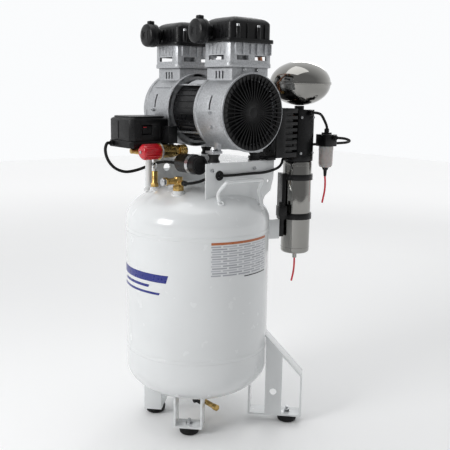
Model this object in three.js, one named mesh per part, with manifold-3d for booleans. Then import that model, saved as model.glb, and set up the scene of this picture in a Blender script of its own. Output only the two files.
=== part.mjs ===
// Vertical-tank twin-cylinder air compressor with an air dryer on its back.
// Millimetres, +Z up. The origin is on the floor, under the middle of the whole machine.
// Front (controls) is -Y, the motor shaft runs along X, the dryer stands at +Y.
import * as THREE from 'three';
import { mergeVertices } from 'three/addons/utils/BufferGeometryUtils.js';
import Module from 'manifold-3d';

const wasm = await Module();
wasm.setup();

// ---------------------------------------------------------------- driving dimensions
const GAP = 0.3;                  // air between pieces that touch

// Air tank
const TANK_RADIUS = 190;
const TANK_WALL = 3;
const TANK_STRAIGHT = 390;
const TANK_HEAD = 95;             // depth of each elliptical head
const TANK_CLEAR_FLOOR = 72;      // floor to the lowest point of the tank

// Legs and feet
const FOOT_HEIGHT = 19;
const FOOT_RADIUS = 27;
const STUD_RADIUS = 4;
const STUD_ABOVE_STRAP = 14;
const STRAP = 5;
const STRAP_WIDTH = 48;
const FRONT_LEG_RADIUS = 116;
const FRONT_LEG_SPAN = 75;
const REAR_LEG_INSET = 44;        // inner upright, inside the tank wall
const REAR_LEG_OUTSET = 101;      // outer upright, outside the tank wall
const REAR_KNEE = 137;
const REAR_TOP = 256;
const REAR_FOOT_OUTSET = 62;
const WHEEL_PLATE = 4;
const WHEEL_PLATE_WIDTH = 45;
const AXLE_OUTSET = 24;
const AXLE_RADIUS = 9.5;
const AXLE_HEIGHT = 87;

// Side handles
const HANDLE_BAR = 5;
const HANDLE_SPAN = 132;
const HANDLE_CLEARANCE = 26;      // foot of the bar, outside the platform's skirt
const HANDLE_MIDDLE = 30;         // along Y
const HANDLE_RISE = 16;           // grip above the tank top

// Motor platform
const PLATFORM_RISE = 60;         // platform top above the tank top
const PLATFORM_SHEET = 3;
const PLATFORM_FRONT = -36;
const PLATFORM_BACK = 158;
const SKIRT_FRONT = -64;
const PLATFORM_MARGIN = 15;       // edge beyond the motor feet
const EAR_HOLE = 4;

// Motor and pump
const PUMP_X = 4;
const PUMP_Y = 34;
const ISOLATOR_HEIGHT = 24;
const ISOLATOR_RADIUS = 15;
const FOOT_PLATE = 6;
const FOOT_SPREAD = 66;           // motor foot from the shaft, along Y
const CRANKCASE_RADIUS = 95;
const CRANKCASE_WALL = 7;
const CRANKCASE_LENGTH = 118;
const FAN_CHAMBER = 24;
const MOTOR_LENGTH = 112;
const MOTOR_RADIUS = 78;
const ROTOR_RADIUS = 45;
const ROTOR_LENGTH = 84;
const AIR_GAP = 1.5;
const SHAFT_RADIUS = 9.5;
const BEARING_CLEAR = 0.6;
const CRANK_THROW = 12;
const PIN_RADIUS = 10;
const PIN_LENGTH = 16;
const CRANK_WEB = 6;
const BLOCK_WIDTH = 108;
const BLOCK_DEPTH = 133;
const BLOCK_HEIGHT = 58;
const BLOCK_WALL = 4;
const NECK_RISE = 13;             // deck for the block above the crankcase's round
const NECK_DEPTH = 112;
const BORE_RADIUS = 33;
const SLEEVE_WALL = 4;
const PISTON_CLEAR = 0.8;
const PISTON_HEIGHT = 10;
const PISTON_FROM_DECK = 14;
const HEAD_FLANGE = 9;
const HEAD_OVERHANG = 5;
const HEAD_HEIGHT = 63;
const HEAD_INSET = 13;
const HEAD_RIB_INSET = 6;         // rib ends inside the flange edge
const FILTER_RADIUS = 30;
const FILTER_LENGTH = 34;
const FILTER_OFFSET = -31;
const FILTER_RISE = 26;           // filter axis above the block
const GUARD_RIM = 6;              // casting round the fan chamber
const GUARD_THICKNESS = 6;
const GUARD_RIBS = 12;
const FAN_BLADES = 7;

// Controls
const RISER_RADIUS = 9;
const RISER_BORE = 6;
const RISER_X = -94.6;
const SWITCH_CLEARANCE = 3;       // to the crankcase
const SWITCH_WIDTH = 114;
const SWITCH_DEPTH = 118;
const SWITCH_BASE = 18;
const SWITCH_HEIGHT = 80;
const KNOB_RADIUS = 20;
const KNOB_LENGTH = 50;
const REGULATOR_RADIUS = 17;
const COUPLER_RADIUS = 12;
const SLEEVE_RADIUS = 15.5;
const DRAIN_REACH = 84;           // drain pipe's end from the tank axis
const CABLE_RADIUS = 4;
const CAPACITOR_RADIUS = 24;
const CAPACITOR_LENGTH = 88;

// Dryer
const DRYER_ANGLE = 70.4;         // degrees from +X, about the tank
const DRYER_STANDOFF = 93.4;      // canister axis outside the tank wall
const CANISTER_RADIUS = 39.5;
const CANISTER_LENGTH = 256;
const BRACKET_REACH = 14;         // bracket foot, from the canister's skin to the tank's arm
const CANISTER_DROP = 8;          // canister top below the platform top
const VESSEL_RADIUS = 84;
const VESSEL_HEIGHT = 118;
const VESSEL_RISE = 140;          // vessel bottom above the platform top
const VESSEL_WALL = 2;
const CANISTER_WALL = 3;
const DRYER_PORT = 8;             // bore between the dryer head and each vessel
const DRYER_HEAD = 64;
const COLLAR_HEIGHT = 13;         // dryer head's collar on the canister
const BOWL_RADIUS = 20;
const BOWL_LENGTH = 57;
const FILTER_HEAD = 44;
const FILTER_HEAD_HEIGHT = 32;
const HOSE_RADIUS = 3.6;
const DRAIN_TUBE_RADIUS = 2.6;

// ---------------------------------------------------------------- derived places
const rad = THREE.MathUtils.degToRad;
const lowerRim = TANK_CLEAR_FLOOR + TANK_HEAD;
const upperRim = lowerRim + TANK_STRAIGHT;
const tankTop = upperRim + TANK_HEAD;
const platformTop = tankTop + PLATFORM_RISE;
const strapBottom = FOOT_HEIGHT + GAP;
const shaftZ = platformTop + ISOLATOR_HEIGHT + FOOT_PLATE + CRANKCASE_RADIUS;
const cylinderOffset = (MOTOR_LENGTH + BLOCK_WIDTH) / 2;
const neckTop = CRANKCASE_RADIUS + NECK_RISE; // above the shaft
const deckZ = shaftZ + neckTop;
const blockTop = deckZ + BLOCK_HEIGHT;
const motorFootOffset = cylinderOffset - 5;
const platformHalf = motorFootOffset + PLATFORM_MARGIN;
const switchBack = PUMP_Y - CRANKCASE_RADIUS - SWITCH_CLEARANCE;
const riserY = switchBack - 30.5;
const manifoldBottom = platformTop + 10;
const switchBottom = manifoldBottom + 20;
const switchX = RISER_X + 1.6;
const switchY = switchBack - SWITCH_DEPTH / 2;
const regulatorX = switchX + SWITCH_WIDTH / 2 + KNOB_RADIUS + 3;
const regulatorZ = manifoldBottom + 13;
const couplerStart = riserY + 22;
const dryerX = (TANK_RADIUS + DRYER_STANDOFF) * Math.cos(rad(DRYER_ANGLE));
const dryerY = (TANK_RADIUS + DRYER_STANDOFF) * Math.sin(rad(DRYER_ANGLE));
const canisterTop = platformTop - CANISTER_DROP;
const canisterBottom = canisterTop - CANISTER_LENGTH;
const vesselBottom = platformTop + VESSEL_RISE;
const bowlX = dryerX + 45;
const bowlY = dryerY + 63;
const bowlTop = platformTop + 32;
const checkPort = { x: 50, y: -98 };
const safetyPort = { x: -55, y: -101 };

const domeHeight = (x, y) =>
  upperRim + TANK_HEAD * Math.sqrt(Math.max(0, 1 - (x * x + y * y) / TANK_RADIUS ** 2));

// ---------------------------------------------------------------- finishes
const finish = (color, roughness, metalness) =>
  new THREE.MeshStandardMaterial({ color, roughness, metalness });
const whitePaint = finish(0xf1f2f2, 0.25, 0);
const rubber = finish(0x151515, 0.8, 0);
const castAluminium = finish(0xb4b7ba, 0.45, 0.9);
const blackPaint = finish(0x121213, 0.35, 0.1);
const blackPlastic = finish(0x161617, 0.4, 0);
const steel = finish(0x9a9da1, 0.35, 1);
const brass = finish(0xb08a45, 0.3, 1);
const copper = finish(0x9c5a3a, 0.35, 1);
const chrome = finish(0xd9dcdf, 0.08, 1);
const redPlastic = finish(0xc8141e, 0.3, 0);
const redTube = finish(0xd01a2c, 0.35, 0);
const bowlPlastic = finish(0xb9b3b0, 0.35, 0);

// ---------------------------------------------------------------- solid helpers
function facingOut(geometry) {
  const p = geometry.attributes.position;
  const index = geometry.index.array;
  const [a, b, c] = [new THREE.Vector3(), new THREE.Vector3(), new THREE.Vector3()];
  let volume = 0;
  for (let i = 0; i < index.length; i += 3) {
    a.fromBufferAttribute(p, index[i]);
    b.fromBufferAttribute(p, index[i + 1]);
    c.fromBufferAttribute(p, index[i + 2]);
    volume += a.dot(b.cross(c));
  }
  if (volume < 0) {
    for (let i = 0; i < index.length; i += 3) {
      [index[i], index[i + 1]] = [index[i + 1], index[i]];
    }
  }
  return geometry;
}

function closed(geometry) {
  const bare = geometry.clone();
  bare.deleteAttribute('normal');
  bare.deleteAttribute('uv');
  const merged = mergeVertices(bare, 1e-4);
  const kept = [];
  const index = merged.index.array;
  for (let i = 0; i < index.length; i += 3) {
    const [a, b, c] = [index[i], index[i + 1], index[i + 2]];
    if (a !== b && b !== c && c !== a) {
      kept.push(a, b, c);
    }
  }
  merged.setIndex(kept);
  return facingOut(merged);
}

function toSolid(geometry) {
  const g = closed(geometry);
  return new wasm.Manifold(new wasm.Mesh({
    numProp: 3,
    vertProperties: new Float32Array(g.attributes.position.array),
    triVerts: new Uint32Array(g.index.array),
  }));
}

function toGeometry(solid) {
  const mesh = solid.getMesh();
  const geometry = new THREE.BufferGeometry();
  geometry.setAttribute('position', new THREE.BufferAttribute(mesh.vertProperties, 3));
  geometry.setIndex(new THREE.BufferAttribute(mesh.triVerts, 1));
  return geometry;
}

function join(first, ...others) {
  return toGeometry(others.reduce((sum, g) => sum.add(toSolid(g)), toSolid(first)));
}

function cut(first, ...tools) {
  return toGeometry(tools.reduce((left, g) => left.subtract(toSolid(g)), toSolid(first)));
}

function box(x0, x1, y0, y1, z0, z1) {
  const g = new THREE.BoxGeometry(x1 - x0, y1 - y0, z1 - z0);
  return g.translate((x0 + x1) / 2, (y0 + y1) / 2, (z0 + z1) / 2);
}

// A cylinder between two heights, with its axis along Z.
function post(x, y, z0, z1, radius, sides = 24, topRadius = radius) {
  const g = new THREE.CylinderGeometry(topRadius, radius, z1 - z0, sides);
  return g.rotateX(Math.PI / 2).translate(x, y, (z0 + z1) / 2);
}

// A cylinder lying along X.
function rodX(x0, x1, y, z, radius, sides = 24) {
  const g = new THREE.CylinderGeometry(radius, radius, x1 - x0, sides);
  return g.rotateZ(-Math.PI / 2).translate((x0 + x1) / 2, y, z);
}

// A cylinder lying along Y.
function rodY(y0, y1, x, z, radius, sides = 24) {
  const g = new THREE.CylinderGeometry(radius, radius, y1 - y0, sides);
  return g.translate(x, (y0 + y1) / 2, z);
}

// A profile of [radius, height] pairs turned about Z.
function turned(profile, sides = 32) {
  const points = profile.map(([r, z]) => new THREE.Vector2(r, z));
  return new THREE.LatheGeometry(points, sides).rotateX(Math.PI / 2);
}

function outline(points) {
  return new THREE.Shape(points.map(([x, y]) => new THREE.Vector2(x, y)));
}

function roundedOutline(width, depth, corner) {
  const [w, d] = [width / 2, depth / 2];
  const shape = new THREE.Shape();
  shape.moveTo(-w + corner, -d);
  shape.lineTo(w - corner, -d);
  shape.absarc(w - corner, -d + corner, corner, -Math.PI / 2, 0);
  shape.absarc(w - corner, d - corner, corner, 0, Math.PI / 2);
  shape.absarc(-w + corner, d - corner, corner, Math.PI / 2, Math.PI);
  shape.absarc(-w + corner, -d + corner, corner, Math.PI, 1.5 * Math.PI);
  return shape;
}

// A shape in the XY plane raised from z0 to z1.
function raised(shape, z0, z1, curveSegments = 1) {
  const g = new THREE.ExtrudeGeometry(shape, { depth: z1 - z0, bevelEnabled: false, curveSegments });
  return g.translate(0, 0, z0);
}

// A shape drawn in (Y, Z) with its thickness along X from x0 to x1.
function standingAcross(shape, x0, x1) {
  return raised(shape, x0, x1).rotateY(Math.PI / 2).rotateX(Math.PI / 2);
}

// A round tube along a smooth route.
function tube(points, radius, steps, sides = 8) {
  const route = new THREE.CatmullRomCurve3(points.map((p) => new THREE.Vector3(...p)));
  const section = new THREE.Shape().absarc(0, 0, radius, 0, 2 * Math.PI);
  return new THREE.ExtrudeGeometry(section, {
    steps,
    bevelEnabled: false,
    curveSegments: sides / 2,
    extrudePath: route,
  });
}

const turnedBy = (geometry, degrees) => geometry.rotateZ(rad(degrees));
const mirrored = (geometry) => toGeometry(toSolid(geometry.clone().scale(-1, 1, 1)));

const machine = new THREE.Group();
const tankFrame = new THREE.Group();
machine.add(tankFrame);

function add(name, geometry, material) {
  const mesh = new THREE.Mesh(closed(geometry), material);
  mesh.name = name;
  tankFrame.add(mesh);
}

// ---------------------------------------------------------------- air tank
// Half outline of the tank, from the lowest point to the highest, grown outwards by a margin.
function tankOutline(margin, steps) {
  const r = TANK_RADIUS + margin;
  const depth = TANK_HEAD + margin;
  const points = [];
  for (let i = 0; i <= steps; i += 1) {
    const a = (i / steps) * Math.PI / 2;
    points.push([r * Math.sin(a), lowerRim - depth * Math.cos(a)]);
  }
  for (let i = steps; i >= 0; i -= 1) {
    const a = (i / steps) * Math.PI / 2;
    points.push([r * Math.sin(a), upperRim + depth * Math.cos(a)]);
  }
  return points;
}

const tankSides = 40;
const headSteps = 5;
const tankEnvelope = turned(tankOutline(GAP, headSteps), tankSides);

function bung(port, radius, height) {
  const z = domeHeight(port.x, port.y);
  return post(port.x, port.y, z - TANK_WALL - 12, z + height, radius, 16);
}

function bungBore(port, radius) {
  const z = domeHeight(port.x, port.y);
  return post(port.x, port.y, z - 40, z + 40, radius, 12);
}

function dryerArm() {
  const end = TANK_RADIUS + DRYER_STANDOFF - CANISTER_RADIUS - BRACKET_REACH - 2 * GAP;
  const plate = raised(outline([
    [TANK_RADIUS - 2, -30], [end, -22], [end, 22], [TANK_RADIUS - 2, 30],
  ]), -3, 3).rotateX(Math.PI / 2);
  return turnedBy(plate.translate(0, -12, canisterBottom + 70), DRYER_ANGLE);
}

function tankShell() {
  const riser = { x: RISER_X, y: riserY };
  const riserFoot = domeHeight(riser.x, riser.y) - TANK_WALL - 12;
  const skin = join(
    turned(tankOutline(0, headSteps), tankSides),
    bung(checkPort, 14, 7),
    bung(safetyPort, 12, 7),
    post(riser.x, riser.y, riserFoot, manifoldBottom - GAP, RISER_RADIUS, 20),
    post(0, 0, TANK_CLEAR_FLOOR - 5, TANK_CLEAR_FLOOR + 10, 15, 20),
    dryerArm(),
  );
  return cut(
    skin,
    turned(tankOutline(-TANK_WALL, headSteps - 1), tankSides / 2),
    bungBore(checkPort, 9),
    bungBore(safetyPort, 7),
    post(riser.x, riser.y, riserFoot - 20, manifoldBottom + 1, RISER_BORE, 16),
    post(0, 0, TANK_CLEAR_FLOOR - 6, TANK_CLEAR_FLOOR + 20, 9, 16),
  );
}

add('tank_shell', tankShell(), whitePaint);

// ---------------------------------------------------------------- legs and feet
function studHole(radius) {
  return post(radius, 0, strapBottom - 1, strapBottom + STRAP + 1, STUD_RADIUS + GAP, 12);
}

// A folded strap under the tank, drawn with its foot out along +X.
function frontLeg() {
  const [w, s] = [STRAP_WIDTH / 2, FRONT_LEG_SPAN / 2];
  const r = FRONT_LEG_RADIUS;
  return cut(
    box(r - w, r + w, -s, s, strapBottom, lowerRim),
    box(r - w - 1, r + w + 1, -s + STRAP, s - STRAP, strapBottom + STRAP, lowerRim + 1),
    tankEnvelope,
    studHole(r),
  );
}

// A strap loop out behind the tank with a plate for a wheel axle on one side of it.
function rearLeg(plateSide) {
  const inner = TANK_RADIUS - REAR_LEG_INSET;
  const outer = TANK_RADIUS + REAR_LEG_OUTSET;
  const inside = TANK_RADIUS - 8;
  const loop = [[inner, strapBottom], [outer, strapBottom], [outer, REAR_KNEE], [inside, REAR_TOP],
    [inner, REAR_TOP]];
  const slant = STRAP * 1.3;
  const space = [[inner + STRAP, strapBottom + STRAP], [outer - STRAP, strapBottom + STRAP],
    [outer - STRAP, REAR_KNEE - 2], [inside, REAR_TOP - slant], [inner + STRAP, REAR_TOP - slant]];
  const half = STRAP_WIDTH / 2;
  const upright = (points, from, to) => raised(outline(points), from, to).rotateX(Math.PI / 2);
  const x0 = TANK_RADIUS + 2;
  const x1 = x0 + WHEEL_PLATE_WIDTH;
  const slope = (REAR_TOP - REAR_KNEE) / (inside - outer);
  const under = (x) => REAR_KNEE + slope * (x - outer) - 1;
  const plate = [[x0, strapBottom + 1], [x1, strapBottom + 1], [x1, under(x1)], [x0, under(x0)]];
  const face = plateSide * (half - WHEEL_PLATE);
  const [near, far] = [Math.min(face, plateSide * half), Math.max(face, plateSide * half)];
  const strap = cut(upright(loop, -half, half), upright(space, -half - 1, half + 1), tankEnvelope);
  return cut(
    join(strap, upright(plate, near, far)),
    rodY(-half - 1, half + 1, TANK_RADIUS + AXLE_OUTSET, AXLE_HEIGHT, AXLE_RADIUS, 20),
    studHole(TANK_RADIUS + REAR_FOOT_OUTSET),
  );
}

// A rubber foot with its moulded-in threaded stud.
function foot() {
  const top = strapBottom + STRAP + STUD_ABOVE_STRAP;
  return turned([[0, 0], [FOOT_RADIUS - 6, 0], [FOOT_RADIUS - 2, 3], [FOOT_RADIUS, FOOT_HEIGHT - 3],
    [FOOT_RADIUS - 1, FOOT_HEIGHT], [STUD_RADIUS, FOOT_HEIGHT], [STUD_RADIUS, top], [0, top]], 14);
}

function addLegs() {
  const front = { front_right: -45, front_left: -135 };
  for (const [corner, angle] of Object.entries(front)) {
    add(`leg_${corner}`, turnedBy(frontLeg(), angle), whitePaint);
    add(`foot_${corner}`, turnedBy(foot().translate(FRONT_LEG_RADIUS, 0, 0), angle), rubber);
  }
  const rear = { rear_right: [45, 1], rear_left: [135, -1] };
  for (const [corner, [angle, side]] of Object.entries(rear)) {
    add(`leg_${corner}`, turnedBy(rearLeg(side), angle), whitePaint);
    const r = TANK_RADIUS + REAR_FOOT_OUTSET;
    add(`foot_${corner}`, turnedBy(foot().translate(r, 0, 0), angle), rubber);
  }
}

addLegs();

// ---------------------------------------------------------------- side handles
function handle() {
  const x = platformHalf + HANDLE_CLEARANCE;
  const half = HANDLE_SPAN / 2;
  const grip = tankTop + HANDLE_RISE;
  const knee = grip - 32;
  const side = (sign) => {
    const y = HANDLE_MIDDLE + sign * half;
    const inboard = HANDLE_MIDDLE + sign * (half - 8);
    return [[x - 2, y, upperRim + 20], [x, y, upperRim + 46], [x - 12, y, knee], [x, y - sign * 3, grip - 14],
      [x + 10, inboard, grip - 2], [x + 12, inboard - sign * 12, grip]];
  };
  const bar = tube([...side(-1), ...side(1).reverse()], HANDLE_BAR, 18);
  return cut(bar, tankEnvelope);
}

add('handle_right', handle(), whitePaint);
add('handle_left', mirrored(handle()), whitePaint);

// ---------------------------------------------------------------- motor platform
const hosePort = { y: -22, z: platformTop - 31 };

function skirt() {
  const top = platformTop;
  const plate = standingAcross(outline([
    [SKIRT_FRONT, upperRim], [SKIRT_FRONT, top], [PLATFORM_BACK, top], [PLATFORM_BACK, top - 44],
    [PLATFORM_BACK - 10, top - 80], [PLATFORM_BACK - 28, top - 92], [PLATFORM_BACK - 60, upperRim],
  ]), platformHalf - PLATFORM_SHEET, platformHalf);
  return cut(
    plate,
    rodX(platformHalf - 10, platformHalf + 10, PLATFORM_BACK - 19, top - 54, EAR_HOLE, 12),
    rodX(platformHalf - 10, platformHalf + 10, hosePort.y, hosePort.z, HOSE_RADIUS + 7, 12),
  );
}

function motorPlatform() {
  const top = platformTop;
  const deck = box(-platformHalf + 1, platformHalf - 1, PLATFORM_FRONT, PLATFORM_BACK,
    top - PLATFORM_SHEET, top);
  const bridge = join(deck, skirt(), mirrored(skirt()));
  return cut(bridge, tankEnvelope);
}

add('motor_platform', motorPlatform(), whitePaint);

function isolator(x, y) {
  const z = platformTop + GAP;
  const h = ISOLATOR_HEIGHT - 2 * GAP;
  const r = ISOLATOR_RADIUS;
  return turned([[0, 0], [r, 0], [r, 4], [r - 3, h / 2], [r, h - 4], [r, h], [0, h]], 14)
    .translate(x, y, z);
}

function addIsolators() {
  for (const [side, sx] of [['right', 1], ['left', -1]]) {
    for (const [end, sy] of [['front', -1], ['rear', 1]]) {
      const x = PUMP_X + sx * motorFootOffset;
      add(`isolator_${end}_${side}`, isolator(x, PUMP_Y + sy * FOOT_SPREAD), rubber);
    }
  }
}

addIsolators();

// ---------------------------------------------------------------- motor
// Pump pieces are drawn about the shaft, at x = 0 for the motor's middle, then set in place.
const onShaft = (geometry) => geometry.translate(PUMP_X, PUMP_Y, shaftZ);

function motorStator() {
  const half = MOTOR_LENGTH / 2 - GAP;
  const pieces = [rodX(-half, half, 0, 0, MOTOR_RADIUS, 24)];
  const fins = 10;
  for (let i = 0; i < fins; i += 1) {
    const tooth = box(-half + 12, half - 12, -2, 2, MOTOR_RADIUS - 4, MOTOR_RADIUS + 2.5);
    pieces.push(tooth.rotateX((i / fins) * 2 * Math.PI));
  }
  return cut(join(...pieces), rodX(-half - 1, half + 1, 0, 0, ROTOR_RADIUS + AIR_GAP, 20));
}

function rotorShaft() {
  const end = MOTOR_LENGTH / 2 + CRANKCASE_LENGTH - 8;
  const pieces = [
    rodX(-end, end, 0, 0, SHAFT_RADIUS, 12),
    rodX(-ROTOR_LENGTH / 2, ROTOR_LENGTH / 2, 0, 0, ROTOR_RADIUS, 20),
  ];
  const open = [];
  for (const side of [-1, 1]) {
    const middle = side * cylinderOffset;
    const half = PIN_LENGTH / 2;
    pieces.push(rodX(middle - half - 1, middle + half + 1, side * CRANK_THROW, 0, PIN_RADIUS, 12));
    for (const cheek of [-1, 1]) {
      const x = middle + cheek * (half + CRANK_WEB / 2);
      const web = rodX(x - CRANK_WEB / 2, x + CRANK_WEB / 2, side * CRANK_THROW / 2, 0, 24, 14);
      pieces.push(web);
    }
    open.push(box(middle - half, middle + half, -60, 60, -60, 60));
  }
  const whole = join(...pieces);
  const pins = [-1, 1].map((side) => {
    const middle = side * cylinderOffset;
    return rodX(middle - PIN_LENGTH / 2 - 1, middle + PIN_LENGTH / 2 + 1, side * CRANK_THROW, 0,
      PIN_RADIUS, 12);
  });
  return join(cut(whole, ...open), ...pins);
}

add('motor_stator', onShaft(motorStator()), blackPaint);
add('rotor_shaft', onShaft(rotorShaft()), steel);

// ---------------------------------------------------------------- crankcases
function crankcase() {
  const x0 = MOTOR_LENGTH / 2 + GAP;
  const x1 = x0 + CRANKCASE_LENGTH;
  const wallX = x1 - FAN_CHAMBER;
  const r = CRANKCASE_RADIUS;
  const neck = NECK_DEPTH / 2;
  const feet = [];
  for (const side of [-1, 1]) {
    const y = side * FOOT_SPREAD;
    const bottom = -r - FOOT_PLATE;
    feet.push(box(motorFootOffset - 15, motorFootOffset + 15, y - 15, y + 15, bottom, bottom + FOOT_PLATE));
    feet.push(box(motorFootOffset - 8, motorFootOffset + 8, y - side * 12 - 5, y - side * 12 + 5,
      bottom + 1, -r / 2));
  }
  const casting = join(
    rodX(x0, x1, 0, 0, r, 28),
    box(x0 + 4, x0 + BLOCK_WIDTH - 5, -neck, neck, 0, neckTop - GAP),
    ...feet,
  );
  const slots = [-1, 0, 1].map((i) => box(cylinderOffset + i * 13 - 3, cylinderOffset + i * 13 + 3,
    -neck - 1, neck + 1, neckTop - 27, neckTop - 9));
  return cut(
    casting,
    rodX(x0 - 1, wallX - 6, 0, 0, r - CRANKCASE_WALL, 20),
    rodX(wallX, x1 + 1, 0, 0, r - GUARD_RIM, 28),
    rodX(wallX - 10, wallX + 4, 0, 0, SHAFT_RADIUS + BEARING_CLEAR, 16),
    post(cylinderOffset, 0, 0, neckTop + 1, BORE_RADIUS + 2, 16),
    box(cylinderOffset + 8, cylinderOffset + 14, -r - 5, -r + 30, 6, 40),
    ...slots,
  );
}

function cylinderBlock() {
  const bottom = neckTop;
  const top = neckTop + BLOCK_HEIGHT - GAP;
  const shell = raised(roundedOutline(BLOCK_WIDTH, BLOCK_DEPTH, 14), bottom, top);
  const t = BLOCK_WALL;
  const room = raised(roundedOutline(BLOCK_WIDTH - 2 * t, BLOCK_DEPTH - 2 * t, 11), bottom + 7, top - 6);
  const windows = [box(-30, 30, -BLOCK_DEPTH, BLOCK_DEPTH, bottom + 17, bottom + 28)];
  for (const side of [-1, 1]) {
    windows.push(box(-BLOCK_WIDTH, BLOCK_WIDTH, side * 28 - 18, side * 28 + 18, bottom + 17, bottom + 28));
  }
  const sleeve = post(0, 0, bottom, top, BORE_RADIUS + SLEEVE_WALL, 16);
  const body = join(cut(shell, room, ...windows), sleeve);
  return cut(body, post(0, 0, bottom - 1, top + 1, BORE_RADIUS, 20)).translate(cylinderOffset, 0, 0);
}

function cylinderHead() {
  const bottom = neckTop + BLOCK_HEIGHT;
  const width = BLOCK_WIDTH + 2 * HEAD_OVERHANG;
  const depth = BLOCK_DEPTH + 2 * HEAD_OVERHANG;
  const shoulder = bottom + HEAD_HEIGHT - 14;
  const inner = roundedOutline(width - 2 * HEAD_INSET, depth - 2 * HEAD_INSET, 16);
  const crown = roundedOutline(width - 2 * HEAD_INSET - 16, depth - 2 * HEAD_INSET - 20, 16);
  const summit = roundedOutline(width - 2 * HEAD_INSET - 50, depth - 2 * HEAD_INSET - 60, 14);
  const ribEnd = depth / 2 - HEAD_RIB_INSET;
  const ribs = [];
  for (let i = -2; i <= 2; i += 1) {
    ribs.push(box(i * 16 - 1.5, i * 16 + 1.5, -ribEnd, ribEnd, bottom + 4, shoulder - 6));
  }
  const flange = raised(roundedOutline(width, depth, 14), bottom, bottom + HEAD_FLANGE);
  return join(
    flange,
    raised(inner, bottom, shoulder),
    raised(crown, bottom, shoulder + 8),
    raised(summit, bottom, bottom + HEAD_HEIGHT),
    ...ribs,
  ).translate(cylinderOffset, 0, 0);
}

// Silencer cup on the front of a head, its axis along Y.
function intakeFilter(middle) {
  const z = neckTop + BLOCK_HEIGHT + FILTER_RISE;
  const back = -BLOCK_DEPTH / 2 - HEAD_OVERHANG + HEAD_RIB_INSET;
  const spigot = back - 12;
  const cup = turned([[0, 0], [FILTER_RADIUS - 5, 0], [FILTER_RADIUS, 5], [FILTER_RADIUS, FILTER_LENGTH - 6],
    [FILTER_RADIUS - 4, FILTER_LENGTH], [0, FILTER_LENGTH]], 20).rotateX(-Math.PI / 2);
  const body = cup.translate(middle + FILTER_OFFSET, spigot - FILTER_LENGTH, z);
  const neck = rodY(spigot - 1, back - 2 * GAP, middle + FILTER_OFFSET, z + 2, 13, 16);
  const x = middle + FILTER_OFFSET;
  const lug = box(x - 7, x + 7, spigot - 24, spigot - 8, z + FILTER_RADIUS - 3, z + FILTER_RADIUS + 7);
  return join(body, neck, lug);
}

function piston(side) {
  const middle = side * cylinderOffset;
  const crownTop = neckTop + BLOCK_HEIGHT - PISTON_FROM_DECK;
  const clearY = CRANK_THROW + PIN_RADIUS + 1.5;
  const clearZ = clearY + CRANK_THROW;
  const rim = 6;
  const half = 5;
  const ring = cut(
    box(middle - half, middle + half, -clearY - rim, clearY + rim, -clearZ - rim, clearZ + rim),
    box(middle - half - 1, middle + half + 1, -clearY, clearY, -clearZ, clearZ),
  );
  return join(
    post(middle, 0, crownTop - PISTON_HEIGHT, crownTop, BORE_RADIUS - PISTON_CLEAR, 20),
    box(middle - half, middle + half, -9, 9, clearZ + 1, crownTop - 2),
    ring,
  );
}

const chamberStart = MOTOR_LENGTH / 2 + GAP + CRANKCASE_LENGTH - FAN_CHAMBER;

function endFan() {
  const x0 = chamberStart + 2;
  const pieces = [rodX(x0, x0 + 10, 0, 0, 26, 12), rodX(x0, x0 + 2.5, 0, 0, 80, 16)];
  for (let i = 0; i < FAN_BLADES; i += 1) {
    const blade = box(x0 + 1, x0 + 11, -1.5, 1.5, 20, 80).rotateX((i / FAN_BLADES) * 2 * Math.PI);
    pieces.push(blade);
  }
  return cut(join(...pieces), rodX(x0 - 1, x0 + 15, 0, 0, SHAFT_RADIUS + GAP, 12));
}

// Round cover with radial slots over each fan.
function fanGuard() {
  const x1 = MOTOR_LENGTH / 2 + GAP + CRANKCASE_LENGTH + 2;
  const x0 = x1 - GUARD_THICKNESS;
  const r = CRANKCASE_RADIUS - GUARD_RIM - 3 * GAP;
  const slots = [];
  for (let i = 0; i < GUARD_RIBS; i += 1) {
    const slot = box(x0 - 1, x1 + 1, -2.6, 2.6, 26, r - 10);
    slots.push(slot.rotateX(((i + 0.5) / GUARD_RIBS) * 2 * Math.PI));
  }
  return cut(rodX(x0, x1, 0, 0, r, 24), ...slots);
}

const pumpSides = { right: (g) => g, left: mirrored };
for (const [side, place] of Object.entries(pumpSides)) {
  const sign = side === 'right' ? 1 : -1;
  add(`crankcase_${side}`, onShaft(place(crankcase())), castAluminium);
  add(`cylinder_${side}`, onShaft(place(cylinderBlock())), castAluminium);
  add(`cylinder_head_${side}`, onShaft(place(cylinderHead())), blackPaint);
  add(`intake_filter_${side}`, onShaft(intakeFilter(sign * cylinderOffset)), blackPlastic);
  add(`piston_${side}`, onShaft(piston(sign)), castAluminium);
  add(`end_fan_${side}`, onShaft(place(endFan())), blackPlastic);
  add(`fan_guard_${side}`, onShaft(place(fanGuard())), blackPlastic);
}

// ---------------------------------------------------------------- aftercooler and discharge pipe
const cooler = {
  x0: dryerX - 52, x1: dryerX + 40, y0: PLATFORM_BACK - 6, y1: dryerY - DRYER_HEAD / 2 - 10,
  z0: canisterTop + COLLAR_HEIGHT + 2 * GAP, z1: vesselBottom - 6,
};
const coolerMiddle = { x: (cooler.x0 + cooler.x1) / 2, z: (cooler.z0 + cooler.z1) / 2 };
const coolerFanRadius = 36;

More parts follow.
